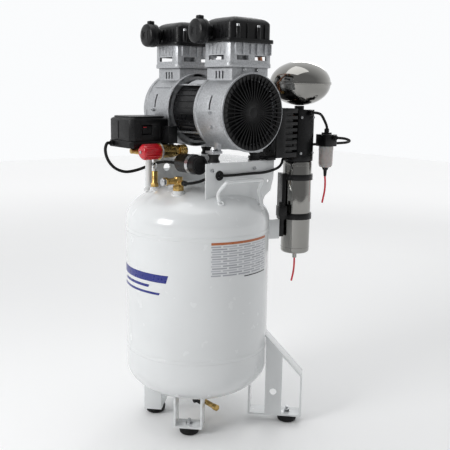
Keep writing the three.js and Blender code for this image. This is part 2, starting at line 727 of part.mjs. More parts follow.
function aftercooler() {
  const { x0, x1, y0, y1, z0, z1 } = cooler;
  const plenum = y0 + 24;
  const gaps = [];
  const fins = 8;
  for (let i = 1; i < fins; i += 1) {
    const z = z0 + (i / fins) * (z1 - z0);
    gaps.push(box(x0 - 1, x1 + 1, plenum + 8, y1 + 1, z - 3.5, z + 3.5));
  }
  const spine = box(x0 + 12, x1 - 12, plenum, y1 - 6, z0, z1);
  const core = join(cut(box(x0, x1, y0, y1, z0, z1), ...gaps), spine);
  const bracket = box(x0 + 6, x1 - 6, y0 - 24, y0 + 4, platformTop + GAP, z0 + 2);
  return cut(join(core, bracket),
    rodY(y0 - 1, plenum, coolerMiddle.x, coolerMiddle.z, coolerFanRadius + 3, 32));
}

function coolerFan() {
  const y0 = cooler.y0 + 5;
  const pieces = [rodY(y0, y0 + 14, 0, 0, 14, 20)];
  const blades = 7;
  for (let i = 0; i < blades; i += 1) {
    const blade = box(-9, 9, -1.2, 1.2, 10, coolerFanRadius).rotateZ(rad(28));
    pieces.push(blade.translate(0, y0 + 7, 0).rotateY((i / blades) * 2 * Math.PI));
  }
  return join(...pieces).translate(coolerMiddle.x, 0, coolerMiddle.z);
}

// Hard pipe behind both heads, joined, and down to the aftercooler.
function dischargePipe() {
  const back = PUMP_Y + BLOCK_DEPTH / 2 + HEAD_OVERHANG - HEAD_RIB_INSET + GAP;
  const z = blockTop + 30;
  const y = back + 24;
  const left = PUMP_X - cylinderOffset;
  const right = PUMP_X + cylinderOffset;
  const r = 6;
  const run = tube([[left, back, z], [left, back + 12, z], [left + 12, y, z], [left + 40, y, z],
    [right - 40, y, z], [right - 12, y, z], [right, back + 12, z], [right, back, z]], r, 14);
  const x = coolerMiddle.x - 10;
  const drop = tube([[x, y, z], [x, y + 8, z - 12], [x, y + 12, z - 60], [x, cooler.y0 + 22, cooler.z1 + 30],
    [x, cooler.y0 + 22, cooler.z1 + GAP]], r, 8);
  return join(run, drop);
}

add('aftercooler', aftercooler(), blackPaint);
add('cooler_fan', coolerFan(), blackPlastic);
add('discharge_pipe', dischargePipe(), copper);

// ---------------------------------------------------------------- controls
const switchPlace = (geometry) => geometry.translate(switchX, switchY, switchBottom);
const switchFront = switchY - SWITCH_DEPTH / 2;
const gland = { x: switchX - SWITCH_WIDTH / 2 + 22, z: switchBottom + 9, length: 8 };
const sideBox = { width: 32, depth: 26, rise: 13, height: 56 };

function chamferedOutline(width, depth, corner) {
  const [w, d] = [width / 2, depth / 2];
  return outline([[-w + corner, -d], [w - corner, -d], [w, -d + corner], [w, d - corner],
    [w - corner, d], [-w + corner, d], [-w, d - corner], [-w, -d + corner]]);
}

function switchBase() {
  const plate = raised(chamferedOutline(SWITCH_WIDTH, SWITCH_DEPTH, 8), GAP, SWITCH_BASE - GAP);
  const seat = rodY(switchFront - gland.length, switchFront + 2, gland.x, gland.z, 7, 6);
  const face = SWITCH_WIDTH / 2;
  const back = SWITCH_DEPTH / 2;
  const { width, depth, rise, height } = sideBox;
  const foot = box(face - 10, face + width, back - depth, back, rise, SWITCH_BASE - GAP);
  const terminals = box(face + GAP, face + width, back - depth, back, rise, height);
  return join(switchPlace(join(plate, foot, terminals)), seat);
}

const rockerPlace = { y: switchY - 12, z: switchBottom + 46, width: 30, height: 22 };

function switchCover() {
  const low = SWITCH_BASE;
  const shoulder = SWITCH_HEIGHT - 8;
  const skirtOutline = chamferedOutline(SWITCH_WIDTH, SWITCH_DEPTH, 11);
  const crown = chamferedOutline(SWITCH_WIDTH - 14, SWITCH_DEPTH - 14, 11);
  const room = chamferedOutline(SWITCH_WIDTH - 6, SWITCH_DEPTH - 6, 9);
  const shell = switchPlace(join(raised(skirtOutline, low, shoulder), raised(crown, low, SWITCH_HEIGHT)));
  const inside = switchPlace(raised(room, low - 1, shoulder - 4));
  const face = switchX + SWITCH_WIDTH / 2;
  const { y, z, width, height } = rockerPlace;
  return cut(
    shell,
    inside,
    box(face - 8, face + 1, y - width / 2 - 1, y + width / 2 + 1, z - height / 2 - 1, z + height / 2 + 1),
  );
}

function switchRocker() {
  const face = switchX + SWITCH_WIDTH / 2;
  const { y, z, width, height } = rockerPlace;
  const w = width / 2 - 1;
  const profile = outline([[-w, -4], [w, -4], [w, 4], [0, 0.5], [-w, 2.5]]);
  const slab = raised(profile, -height / 2 + 1, height / 2 - 1);
  return slab.rotateZ(Math.PI / 2).rotateZ(Math.PI).translate(face - 3, y, z);
}

function controlManifold() {
  const z0 = manifoldBottom;
  const z1 = switchBottom;
  const block = box(RISER_X - 20, RISER_X + 20, riserY - 36, riserY + 24, z0, z1 - GAP);
  const nipple = rodX(RISER_X + 18, regulatorX, riserY, z0 + 11, 6.5, 16);
  const port = rodY(riserY - 54, riserY - 34, RISER_X, z0 + 9, 7, 6);
  const body = rodY(couplerStart - 39, couplerStart - GAP, regulatorX, regulatorZ, REGULATOR_RADIUS, 24);
  const collar = rodY(couplerStart - 44, couplerStart - 38, regulatorX, regulatorZ, KNOB_RADIUS + 1.5, 28);
  return cut(
    join(block, nipple, port, body, collar),
    post(RISER_X, riserY, z0 - 1, z0 + 12, RISER_BORE, 16),
  );
}

const knobBack = couplerStart - 44 - GAP;

function regulatorKnob() {
  const r = KNOB_RADIUS;
  const cap = turned([[0, 0], [r - 5, 0], [r - 1, 4], [r - 1, KNOB_LENGTH], [0, KNOB_LENGTH]], 24);
  const pieces = [cap];
  const flutes = 10;
  for (let i = 0; i < flutes; i += 1) {
    const ridge = box(r - 3, r, -2, 2, 8, KNOB_LENGTH - 2).rotateZ((i / flutes) * 2 * Math.PI);
    pieces.push(ridge);
  }
  const knob = join(...pieces).rotateX(-Math.PI / 2);
  return knob.translate(regulatorX, knobBack - KNOB_LENGTH, regulatorZ);
}

const couplerEnd = couplerStart + 40;

function outletCoupler() {
  const stem = join(
    rodY(couplerStart, couplerStart + 10, regulatorX, regulatorZ, SLEEVE_RADIUS, 6),
    rodY(couplerStart + 9, couplerEnd, regulatorX, regulatorZ, COUPLER_RADIUS, 24),
  );
  return cut(stem, rodY(couplerStart + 14, couplerEnd + 1, regulatorX, regulatorZ, 6.5, 20));
}

function couplerSleeve() {
  const ring = rodY(couplerStart + 17, couplerEnd - 2, regulatorX, regulatorZ, SLEEVE_RADIUS, 24);
  return cut(ring, rodY(couplerStart, couplerEnd, regulatorX, regulatorZ, COUPLER_RADIUS + GAP, 24));
}

add('switch_base', switchBase(), blackPlastic);
add('switch_cover', switchCover(), blackPlastic);
add('switch_rocker', switchRocker(), blackPlastic);
add('regulator_manifold', controlManifold(), brass);
add('regulator_knob', regulatorKnob(), redPlastic);
add('outlet_coupler', outletCoupler(), brass);
add('coupler_sleeve', couplerSleeve(), brass);

// ---------------------------------------------------------------- capacitor and motor cable
const capacitor = { x0: regulatorX + SLEEVE_RADIUS + 6, y: PLATFORM_FRONT - 28, z: platformTop - 5 };

function runCapacitor() {
  const { x0, y, z } = capacitor;
  const can = rodX(x0 + 6, x0 + CAPACITOR_LENGTH, y, z, CAPACITOR_RADIUS, 28);
  const cap = rodX(x0, x0 + 7, y, z, CAPACITOR_RADIUS - 4, 28);
  return join(can, cap);
}

function motorCable() {
  const start = switchFront - gland.length - GAP;
  const { x, z } = gland;
  const end = capacitor.x0 - GAP;
  return tube([
    [x, start, z], [x, start - 8, z], [x, start - 14, z - 14], [x + 1, start - 9, z - 40],
    [x + 3, start + 10, z - 64], [x + 6, start + 39, z - 76], [x + 9, start + 70, z - 74],
    [x + 15, start + 100, z - 65], [x + 30, start + 115, z - 56], [x + 68, start + 126, z - 49],
    [end - 35, capacitor.y + 2, capacitor.z - 4], [end - 12, capacitor.y, capacitor.z - 6],
    [end, capacitor.y, capacitor.z - 6],
  ], CABLE_RADIUS, 22);
}

add('run_capacitor', runCapacitor(), blackPaint);
add('motor_cable', motorCable(), rubber);

// ---------------------------------------------------------------- valves on the tank
const checkSeat = domeHeight(checkPort.x, checkPort.y) + 7 + GAP;
const checkInlet = { x: checkPort.x + 22, z: checkSeat + 20 };

function checkValve() {
  const { x, y } = checkPort;
  return join(
    post(x, y, checkSeat, checkSeat + 12, 15, 6),
    post(x, y, checkSeat + 11, checkSeat + 34, 11, 18),
    rodX(x, checkInlet.x, y, checkInlet.z, 7.5, 10),
    rodY(y - 34, y, x, checkSeat + 24, 8, 14),
    rodY(y - 44, y - 33, x, checkSeat + 24, 10.5, 6),
  );
}

const safetySeat = domeHeight(safetyPort.x, safetyPort.y) + 7 + GAP;
const safetyTop = safetySeat + 40;

function safetyValve() {
  const { x, y } = safetyPort;
  return join(
    post(x, y, safetySeat, safetySeat + 9, 11, 6),
    post(x, y, safetySeat + 8, safetyTop, 8, 20),
    post(x, y, safetyTop - 1, safetyTop + 5, 2.5, 12),
  );
}

// A ring through the valve's stem, standing in the XZ plane.
function safetyRing() {
  const { x, y } = safetyPort;
  const ring = new THREE.TorusGeometry(9, 1.2, 5, 12).rotateX(Math.PI / 2);
  const clip = cut(post(x, y, safetyTop + GAP, safetyTop + 6.5, 4.5, 16),
    post(x, y, safetyTop - 1, safetyTop + 6, 2.5 + GAP, 12));
  return join(clip, ring.translate(x, y, safetyTop + 15.5 - GAP));
}

const drainTop = TANK_CLEAR_FLOOR - 5 - GAP;
const drainAxis = drainTop - 18;

function drainValve() {
  return join(
    post(0, 0, drainTop - 10, drainTop, 13, 6),
    post(0, 0, drainAxis - 8, drainTop - 9, 9, 20),
    rodX(0, DRAIN_REACH, 0, drainAxis, 7, 16),
    rodX(DRAIN_REACH - 2, DRAIN_REACH + 10, 0, drainAxis, 9, 6),
    rodY(-14, 0, 16, drainAxis, 5, 16),
  );
}

const drainHandleFace = -14 - GAP;

function drainHandle() {
  const lever = box(-6, 38, drainHandleFace - 3, drainHandleFace, -5, 5);
  const hub = rodY(drainHandleFace - 6, drainHandleFace, 0, 0, 8, 16);
  return join(lever, hub).translate(16, 0, drainAxis);
}

add('check_valve', checkValve(), brass);
add('safety_valve', safetyValve(), brass);
add('safety_pull_ring', safetyRing(), steel);
add('drain_valve', drainValve(), steel);
add('drain_handle', drainHandle(), blackPlastic);

// ---------------------------------------------------------------- dryer
const dryerHeadTop = vesselBottom - 10;
const dryerHeadBottom = canisterTop + GAP;

function dryerHead() {
  const h = DRYER_HEAD / 2;
  const block = raised(roundedOutline(DRYER_HEAD, DRYER_HEAD, 10), dryerHeadBottom + COLLAR_HEIGHT - 1,
    dryerHeadTop);
  const collarTop = dryerHeadBottom + COLLAR_HEIGHT;
  const collar = post(0, 0, dryerHeadBottom, collarTop, CANISTER_RADIUS + 2, 20);
  const neck = post(0, 0, dryerHeadTop - 1, vesselBottom - GAP, 13, 20);
  const tie = box(-h + 6, h - 6, -h - 10 + GAP, -h + 2, dryerHeadBottom + 40, dryerHeadBottom + 60);
  return join(block, collar, neck, tie).translate(dryerX, dryerY, 0);
}

// Half of a vessel from its pole to its middle, at the given distance inside the outer skin.
function vesselHead(inside) {
  const r = VESSEL_RADIUS - 2 - inside;
  const half = VESSEL_HEIGHT / 2;
  const steps = 5;
  const points = [];
  for (let i = 0; i < steps; i += 1) {
    const a = (i / steps) * Math.PI / 2;
    points.push([r * Math.sin(a), half - (half - inside) * Math.cos(a)]);
  }
  return [...points, [r, half - 3]];
}

const bothHeads = (lower) => [...lower, ...lower.map(([x, z]) => [x, VESSEL_HEIGHT - z]).reverse()];

// Polished pressure vessel: two deep heads meeting at a rolled flange, open below into the dryer head.
function condenserVessel() {
  const skin = turned(bothHeads([...vesselHead(0), [VESSEL_RADIUS, VESSEL_HEIGHT / 2 - 3]]), 20);
  const room = turned(bothHeads(vesselHead(VESSEL_WALL)), 20);
  return cut(skin, room, post(0, 0, -1, VESSEL_HEIGHT / 2, DRYER_PORT, 12))
    .translate(dryerX, dryerY, vesselBottom);
}

// Desiccant canister, open above into the dryer head.
function dryerCanister() {
  const r = CANISTER_RADIUS;
  const h = CANISTER_LENGTH;
  const skin = turned([[0, -18], [6, -18], [6, -4], [12, 0], [r - 4, 0], [r, 5], [r, h - 4], [r - 3, h],
    [0, h]], 24);
  const room = post(0, 0, 2 * CANISTER_WALL, h - 2 * CANISTER_WALL, r - CANISTER_WALL, 24);
  return cut(skin, room, post(0, 0, h / 2, h + 1, DRYER_PORT, 12)).translate(dryerX, dryerY, canisterBottom);
}

// Black clamp bracket between the tank's arm and the canister, with the drain solenoid on it.
function canisterBracket() {
  const inner = CANISTER_RADIUS + 3 * GAP;
  const band = (z) => cut(post(0, 0, z - 8, z + 8, inner + 3, 20), post(0, 0, z - 9, z + 9, inner, 20));
  const low = canisterBottom + 104;
  const high = canisterTop - 44;
  const plate = box(-inner - 10, -inner + 1, -17, 17, low - 10, high + 10);
  const curve = post(0, 0, low - 20, high + 20, inner, 20);
  const foot = box(-CANISTER_RADIUS - BRACKET_REACH, -inner - 2, -16, 0, canisterBottom + 48, low);
  const coil = join(
    box(-inner - 26, -inner - 4, -40, -16, low + 4, low + 32),
    post(-inner - 15, -28, low + 31, low + 42, 8, 16),
  );
  const bracket = join(cut(plate, curve), cut(foot, curve), band(low), band(high), coil);
  return turnedBy(bracket, DRYER_ANGLE).translate(dryerX, dryerY, 0);
}

function filterHead() {
  const h = FILTER_HEAD / 2;
  const block = raised(roundedOutline(FILTER_HEAD, FILTER_HEAD, 6), bowlTop, bowlTop + FILTER_HEAD_HEIGHT);
  const cap = post(0, 0, bowlTop + FILTER_HEAD_HEIGHT - 1, bowlTop + FILTER_HEAD_HEIGHT + 5, 14, 20);
  const reach = Math.hypot(bowlX - dryerX, bowlY - dryerY) - DRYER_HEAD / 2 + 6;
  const arm = box(-reach + 6, -h + 4, -6, 6, bowlTop + 2, bowlTop + 8);
  const toDryer = Math.atan2(bowlY - dryerY, bowlX - dryerX);
  const room = DRYER_HEAD + 2 * GAP;
  const cutter = raised(roundedOutline(room, room, 10), bowlTop, bowlTop + 20)
    .translate(dryerX - bowlX, dryerY - bowlY, 0);
  return cut(join(block, cap, arm.rotateZ(toDryer)), cutter).translate(bowlX, bowlY, 0);
}

function filterBowl() {
  const r = BOWL_RADIUS;
  const h = BOWL_LENGTH;
  const profile = [[0, -26], [4, -26], [5, -8], [9, -2], [r - 4, 0], [r - 1, 8], [r, h - GAP], [0, h - GAP]];
  return turned(profile, 20).translate(bowlX, bowlY, bowlTop - h);
}

add('dryer_head', dryerHead(), blackPaint);
add('condenser_vessel', condenserVessel(), chrome);
add('dryer_canister', dryerCanister(), chrome);
add('canister_bracket', canisterBracket(), blackPaint);
add('filter_head', filterHead(), blackPlastic);
add('filter_bowl', filterBowl(), bowlPlastic);

// ---------------------------------------------------------------- dryer hoses
// From the dryer head, up and over to the top of the filter head.
function filterInletHose() {
  const x = dryerX + DRYER_HEAD / 2 + GAP;
  const z = dryerHeadTop - 8;
  const top = bowlTop + FILTER_HEAD_HEIGHT + 5 + GAP;
  return tube([[x, dryerY + 8, z], [x + 8, dryerY + 8, z], [x + 14, dryerY + 34, z - 4],
    [bowlX, bowlY - 10, z - 22], [bowlX, bowlY, z - 40], [bowlX, bowlY, top]], HOSE_RADIUS, 12);
}

// Hairpin from the side of the filter head, round behind it and back to the dryer head.
function filterOutletHose() {
  const x = bowlX + FILTER_HEAD / 2 + GAP;
  const z = bowlTop + 24;
  const back = bowlY + FILTER_HEAD / 2;
  const returnY = dryerY + DRYER_HEAD / 2 + GAP;
  return tube([[x, bowlY + 6, z], [x + 10, bowlY + 6, z], [x + 24, bowlY + 24, z - 2],
    [x + 22, back + 22, z - 8], [x + 4, back + 32, z - 14], [bowlX - 2, back + 22, z - 18],
    [dryerX + 14, back - 2, z - 21],
    [dryerX + 4, returnY + 20, z - 22], [dryerX + 4, returnY, z - 22]], HOSE_RADIUS, 20);
}

// From the canister's head along the outside of the platform and in to the check valve.
function deliveryHose() {
  const x = platformHalf + HOSE_RADIUS + 5;
  const { y, z } = hosePort;
  const endX = checkInlet.x + GAP;
  const start = dryerY - CANISTER_RADIUS - 2 - GAP;
  return tube([[dryerX, start, canisterTop + 7], [dryerX, start - 12, canisterTop + 6],
    [dryerX + 14, start - 30, canisterTop - 4], [x, PLATFORM_BACK + 4, z + 10],
    [x, PLATFORM_BACK - 36, z + 2], [x, 60, z + 1], [x, y + 40, z], [x - 2, y + 12, z],
    [platformHalf - 1.5, y, z], [platformHalf - 14, y - 14, z - 3],
    [platformHalf - 28, y - 42, checkInlet.z + 4],
    [endX + 12, checkPort.y, checkInlet.z], [endX, checkPort.y, checkInlet.z]], HOSE_RADIUS, 28);
}

function canisterDrainTube() {
  const top = canisterBottom - 18 - GAP;
  return tube([[dryerX, dryerY, top], [dryerX, dryerY, top - 18], [dryerX - 1, dryerY - 1, top - 40],
    [dryerX - 4, dryerY - 5, top - 67]], DRAIN_TUBE_RADIUS, 8);
}

function filterDrainTube() {
  const top = bowlTop - BOWL_LENGTH - 26 - GAP;
  return tube([[bowlX, bowlY, top], [bowlX + 1, bowlY + 1, top - 18], [bowlX + 1, bowlY, top - 40],
    [bowlX - 3, bowlY - 4, top - 74]], DRAIN_TUBE_RADIUS, 8);
}

add('filter_inlet_hose', filterInletHose(), rubber);
add('filter_outlet_hose', filterOutletHose(), rubber);
add('delivery_hose', deliveryHose(), rubber);
add('canister_drain_tube', canisterDrainTube(), redTube);
add('filter_drain_tube', filterDrainTube(), redTube);

// ---------------------------------------------------------------- origin
// The origin is under the middle of the machine without its two hanging drain tubes.
const drainTubes = ['canister_drain_tube', 'filter_drain_tube'];
const extent = new THREE.Box3();
for (const mesh of tankFrame.children) {
  if (!drainTubes.includes(mesh.name)) {
    extent.expandByObject(mesh);
  }
}
const middle = extent.getCenter(new THREE.Vector3());
tankFrame.position.set(-middle.x, -middle.y, 0);

export default machine;
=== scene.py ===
"""Looks for an upright twin-cylinder air compressor with a dryer, built round its packed model."""

import math

import bpy
from mathutils import Matrix, Vector


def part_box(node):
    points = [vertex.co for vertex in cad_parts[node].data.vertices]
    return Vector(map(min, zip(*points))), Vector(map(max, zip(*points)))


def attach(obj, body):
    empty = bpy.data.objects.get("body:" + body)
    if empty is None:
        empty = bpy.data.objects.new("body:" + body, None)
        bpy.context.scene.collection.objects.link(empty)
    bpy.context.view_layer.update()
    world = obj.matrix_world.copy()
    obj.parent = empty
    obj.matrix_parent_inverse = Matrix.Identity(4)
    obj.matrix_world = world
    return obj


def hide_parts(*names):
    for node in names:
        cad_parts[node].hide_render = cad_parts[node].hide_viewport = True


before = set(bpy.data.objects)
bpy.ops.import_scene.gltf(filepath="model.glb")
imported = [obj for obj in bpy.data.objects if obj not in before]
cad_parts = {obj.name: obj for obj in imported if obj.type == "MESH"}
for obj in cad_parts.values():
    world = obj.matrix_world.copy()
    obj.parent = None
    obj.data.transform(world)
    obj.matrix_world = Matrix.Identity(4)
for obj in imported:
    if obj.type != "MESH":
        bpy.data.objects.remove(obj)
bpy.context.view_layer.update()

bl_info = {
    "name": "Upright air compressor",
    "version": (1, 0, 0),
    "blender": (4, 5, 0),
    "location": "3D View > Sidebar > Compressor",
    "description": "Builds the finished surfaces of an upright twin-cylinder air compressor",
    "category": "Add Mesh",
}

MM = 0.001
UP = Vector((0, 0, 1))
FRONT = Vector((0, -1, 0))
RIGHT = Vector((1, 0, 0))

# ------------------------------------------------------------------ places worked out from the frame


def middle(node):
    lo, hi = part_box(node)
    return (Vector(lo) + Vector(hi)) / 2


def low(node):
    return Vector(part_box(node)[0])


def high(node):
    return Vector(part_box(node)[1])


TANK_RADIUS = (high("tank_shell").x - low("tank_shell").x) / 2
AXIS = Vector((0, low("tank_shell").y + TANK_RADIUS, 0))
SHAFT = Vector((middle("motor_stator").x, middle("motor_stator").y, middle("fan_guard_right").z))
DECK_TOP = high("motor_platform").z
DRYER = middle("dryer_canister")


def at(x, y, z):
    """A place in millimetres from the tank's axis and the floor, in metres in the frame."""
    return AXIS + Vector((x, y, z)) * MM


# ------------------------------------------------------------------ what a user may change


class CompressorSizes(bpy.types.PropertyGroup):
    head_depth: bpy.props.FloatProperty(
        name="Tank head depth", description="Depth of each tank head", default=0.095, unit="LENGTH")
    lower_rim: bpy.props.FloatProperty(
        name="Lower rim", description="Floor to the start of the straight wall", default=0.167, unit="LENGTH")
    upper_rim: bpy.props.FloatProperty(
        name="Upper rim", description="Floor to the end of the straight wall", default=0.557, unit="LENGTH")
    lower_seam: bpy.props.FloatProperty(
        name="Lower seam", description="Floor to the lower weld", default=0.218, unit="LENGTH")
    upper_seam: bpy.props.FloatProperty(
        name="Upper seam", description="Floor to the upper weld", default=0.533, unit="LENGTH")
    seam_rise: bpy.props.FloatProperty(
        name="Weld height", description="How far a weld stands proud", default=0.0011, unit="LENGTH")
    weld_bead: bpy.props.FloatProperty(
        name="Weld bead", description="Radius of the small weld beads", default=0.0028, unit="LENGTH")
    edge: bpy.props.FloatProperty(
        name="Edge rounding", description="Rounding on folded and cast edges", default=0.0008, unit="LENGTH")
    guard_ribs: bpy.props.IntProperty(
        name="Guard ribs", description="Radial ribs on each fan cover", default=44, min=8)
    knob_flutes: bpy.props.IntProperty(
        name="Knob flutes", description="Grip ridges round the regulator knob", default=18, min=6)


class CompressorColours(bpy.types.PropertyGroup):
    paint: bpy.props.FloatVectorProperty(
        name="Paint", description="Tank, legs and deck", subtype="COLOR", default=(0.74, 0.755, 0.76))
    casting: bpy.props.FloatVectorProperty(
        name="Casting", description="Crankcases and cylinders", subtype="COLOR", default=(0.46, 0.47, 0.485))
    black: bpy.props.FloatVectorProperty(
        name="Black", description="Coated castings and mouldings", subtype="COLOR", default=(0.004, 0.004, 0.0045))
    rubber: bpy.props.FloatVectorProperty(
        name="Rubber", description="Feet, isolators and hoses", subtype="COLOR", default=(0.005, 0.005, 0.005))
    steel: bpy.props.FloatVectorProperty(
        name="Steel", description="Fasteners and shafts", subtype="COLOR", default=(0.56, 0.57, 0.58))
    brass: bpy.props.FloatVectorProperty(
        name="Brass", description="Valves and fittings", subtype="COLOR", default=(0.55, 0.37, 0.13))
    copper: bpy.props.FloatVectorProperty(
        name="Copper", description="Discharge pipe", subtype="COLOR", default=(0.42, 0.2, 0.12))
    # Polished steel's own tone, darkened far below bare steel: painted dark reflection of dark surroundings in the
    # mirror finish.
    dark_reflecting_polish: bpy.props.FloatVectorProperty(
        name="Polished steel", description="Dryer vessels", subtype="COLOR", default=(0.3, 0.295, 0.28))
    knob: bpy.props.FloatVectorProperty(
        name="Knob", description="Regulator knob", subtype="COLOR", default=(0.5, 0.003, 0.012))
    tube: bpy.props.FloatVectorProperty(
        name="Drain tube", description="Drain tubes", subtype="COLOR", default=(0.66, 0.012, 0.04))
    bowl: bpy.props.FloatVectorProperty(
        name="Bowl", description="Filter bowl", subtype="COLOR", default=(0.42, 0.395, 0.38))
    ink: bpy.props.FloatVectorProperty(
        name="Decal", description="Front decal", subtype="COLOR", default=(0.012, 0.02, 0.2))


# ------------------------------------------------------------------ materials


def shader(name, colour, roughness, metallic=0.0):
    """A material with its shader set, its node tree, and its Object coordinates."""
    material = bpy.data.materials.new(name)
    material.use_nodes = True
    tree = material.node_tree
    surface = tree.nodes["Principled BSDF"]
    surface.inputs["Base Color"].default_value = (*colour, 1)
    surface.inputs["Roughness"].default_value = roughness
    surface.inputs["Metallic"].default_value = metallic
    place = tree.nodes.new("ShaderNodeTexCoord")
    return material, tree, surface, place.outputs["Object"]


def noise(tree, vector, scale, detail=4.0):
    texture = tree.nodes.new("ShaderNodeTexNoise")
    texture.inputs["Scale"].default_value = scale
    texture.inputs["Detail"].default_value = detail
    tree.links.new(vector, texture.inputs["Vector"])
    return texture.outputs["Fac"]


def vary_colour(tree, surface, factor, colour, spread):
    """Shifts the base colour a little lighter and darker along a factor."""
    ramp = tree.nodes.new("ShaderNodeValToRGB")
    ramp.color_ramp.elements[0].position = 0.3
    ramp.color_ramp.elements[1].position = 0.7
    ramp.color_ramp.elements[0].color = (*[c * (1 - spread) for c in colour], 1)
    ramp.color_ramp.elements[1].color = (*[min(1, c * (1 + spread)) for c in colour], 1)
    tree.links.new(factor, ramp.inputs["Fac"])
    tree.links.new(ramp.outputs["Color"], surface.inputs["Base Color"])


def vary_roughness(tree, surface, factor, lowest, highest):
    spread = tree.nodes.new("ShaderNodeMapRange")
    spread.inputs["From Min"].default_value = 0.3
    spread.inputs["From Max"].default_value = 0.7
    spread.inputs["To Min"].default_value = lowest
    spread.inputs["To Max"].default_value = highest
    tree.links.new(factor, spread.inputs["Value"])
    tree.links.new(spread.outputs["Result"], surface.inputs["Roughness"])


def bumped(tree, surface, factor, strength, depth):
    bump = tree.nodes.new("ShaderNodeBump")
    bump.inputs["Strength"].default_value = strength
    bump.inputs["Distance"].default_value = depth
    tree.links.new(factor, bump.inputs["Height"])
    tree.links.new(bump.outputs["Normal"], surface.inputs["Normal"])


def stretched(tree, vector, scale):
    mapping = tree.nodes.new("ShaderNodeMapping")
    mapping.inputs["Scale"].default_value = scale
    tree.links.new(vector, mapping.inputs["Vector"])
    return mapping.outputs["Vector"]


def gloss_paint(colours):
    material, tree, surface, place = shader("gloss_paint", colours.paint, 0.2)
    surface.inputs["Coat Weight"].default_value = 0.5
    surface.inputs["Coat Roughness"].default_value = 0.06
    vary_colour(tree, surface, noise(tree, place, 7), colours.paint, 0.02)
    vary_roughness(tree, surface, noise(tree, place, 30), 0.16, 0.28)
    bumped(tree, surface, noise(tree, place, 300, 2), 0.02, 0.0005)
    return material


def cast_metal(colours):
    material, tree, surface, place = shader("cast_metal", colours.casting, 0.42, 0.75)
    vary_colour(tree, surface, noise(tree, place, 260, 8), colours.casting, 0.2)
    vary_roughness(tree, surface, noise(tree, place, 45), 0.34, 0.52)
    bumped(tree, surface, noise(tree, place, 1300, 6), 0.4, 0.0006)
    return material


def coated_black(colours):
    material, tree, surface, place = shader("coated_black", colours.black, 0.32)
    surface.inputs["Specular IOR Level"].default_value = 0.3
    vary_colour(tree, surface, noise(tree, place, 60, 6), colours.black, 0.35)
    vary_roughness(tree, surface, noise(tree, place, 90), 0.24, 0.42)
    bumped(tree, surface, noise(tree, place, 1500, 5), 0.3, 0.0005)
    return material


def moulded_black(colours):
    material, tree, surface, place = shader("moulded_black", colours.black, 0.34)
    surface.inputs["Specular IOR Level"].default_value = 0.3
    vary_colour(tree, surface, noise(tree, place, 25), colours.black, 0.25)
    vary_roughness(tree, surface, noise(tree, place, 160), 0.26, 0.42)
    grain = tree.nodes.new("ShaderNodeTexVoronoi")
    grain.inputs["Scale"].default_value = 1600
    tree.links.new(place, grain.inputs["Vector"])
    bumped(tree, surface, grain.outputs["Distance"], 0.18, 0.0004)
    return material


def rubber(colours):
    material, tree, surface, place = shader("rubber", colours.rubber, 0.6)
    surface.inputs["Specular IOR Level"].default_value = 0.3
    vary_colour(tree, surface, noise(tree, place, 80), colours.rubber, 0.4)
    vary_roughness(tree, surface, noise(tree, place, 200), 0.5, 0.72)
    bumped(tree, surface, noise(tree, place, 1100, 3), 0.25, 0.0005)
    return material


def turned_steel(colours):
    material, tree, surface, place = shader("turned_steel", colours.steel, 0.3, 1.0)
    vary_colour(tree, surface, noise(tree, place, 150), colours.steel, 0.15)
    vary_roughness(tree, surface, noise(tree, place, 500), 0.2, 0.4)
    bumped(tree, surface, noise(tree, stretched(tree, place, (1, 1, 8)), 500, 3), 0.15, 0.0003)
    return material


def machined_brass(colours):
    material, tree, surface, place = shader("machined_brass", colours.brass, 0.28, 1.0)
    vary_colour(tree, surface, noise(tree, place, 55, 6), colours.brass, 0.4)
    vary_roughness(tree, surface, noise(tree, place, 130), 0.18, 0.45)
    bumped(tree, surface, noise(tree, stretched(tree, place, (1, 6, 1)), 600, 3), 0.15, 0.0003)
    return material


def copper_pipe(colours):
    material, tree, surface, place = shader("copper_pipe", colours.copper, 0.35, 1.0)
    vary_colour(tree, surface, noise(tree, place, 35, 6), colours.copper, 0.45)
    vary_roughness(tree, surface, noise(tree, place, 120), 0.25, 0.5)
    bumped(tree, surface, noise(tree, place, 700, 3), 0.12, 0.0003)
    return material


def polished_steel(colours):
    # The dark base colour is partly the steel's tone and partly painted dark reflection standing in for dark
    # surroundings.
    material, tree, surface, place = shader("polished_steel", colours.dark_reflecting_polish, 0.06, 1.0)
    vary_colour(tree, surface, noise(tree, place, 9), colours.dark_reflecting_polish, 0.08)
    vary_roughness(tree, surface, noise(tree, place, 40, 6), 0.03, 0.12)
    bumped(tree, surface, noise(tree, stretched(tree, place, (1, 1, 30)), 60, 3), 0.04, 0.0002)
    return material


def gloss_red(colours):
    material, tree, surface, place = shader("gloss_red", colours.knob, 0.2)
    surface.inputs["Coat Weight"].default_value = 0.4
    vary_colour(tree, surface, noise(tree, place, 60), colours.knob, 0.15)
    vary_roughness(tree, surface, noise(tree, place, 200), 0.14, 0.28)
    bumped(tree, surface, noise(tree, place, 900, 3), 0.08, 0.0003)
    return material


def red_tube(colours):
    material, tree, surface, place = shader("red_tube", colours.tube, 0.3)
    surface.inputs["Subsurface Weight"].default_value = 0.1
    vary_colour(tree, surface, noise(tree, place, 90), colours.tube, 0.15)
    vary_roughness(tree, surface, noise(tree, place, 300), 0.22, 0.38)
    bumped(tree, surface, noise(tree, place, 900, 3), 0.06, 0.0003)
    return material


def cloudy_bowl(colours):
    material, tree, surface, place = shader("cloudy_bowl", colours.bowl, 0.3)
    surface.inputs["Subsurface Weight"].default_value = 0.15
    surface.inputs["IOR"].default_value = 1.49
    vary_colour(tree, surface, noise(tree, place, 40), colours.bowl, 0.05)
    vary_roughness(tree, surface, noise(tree, place, 180), 0.22, 0.4)
    bumped(tree, surface, noise(tree, place, 600, 3), 0.08, 0.0003)
    return material


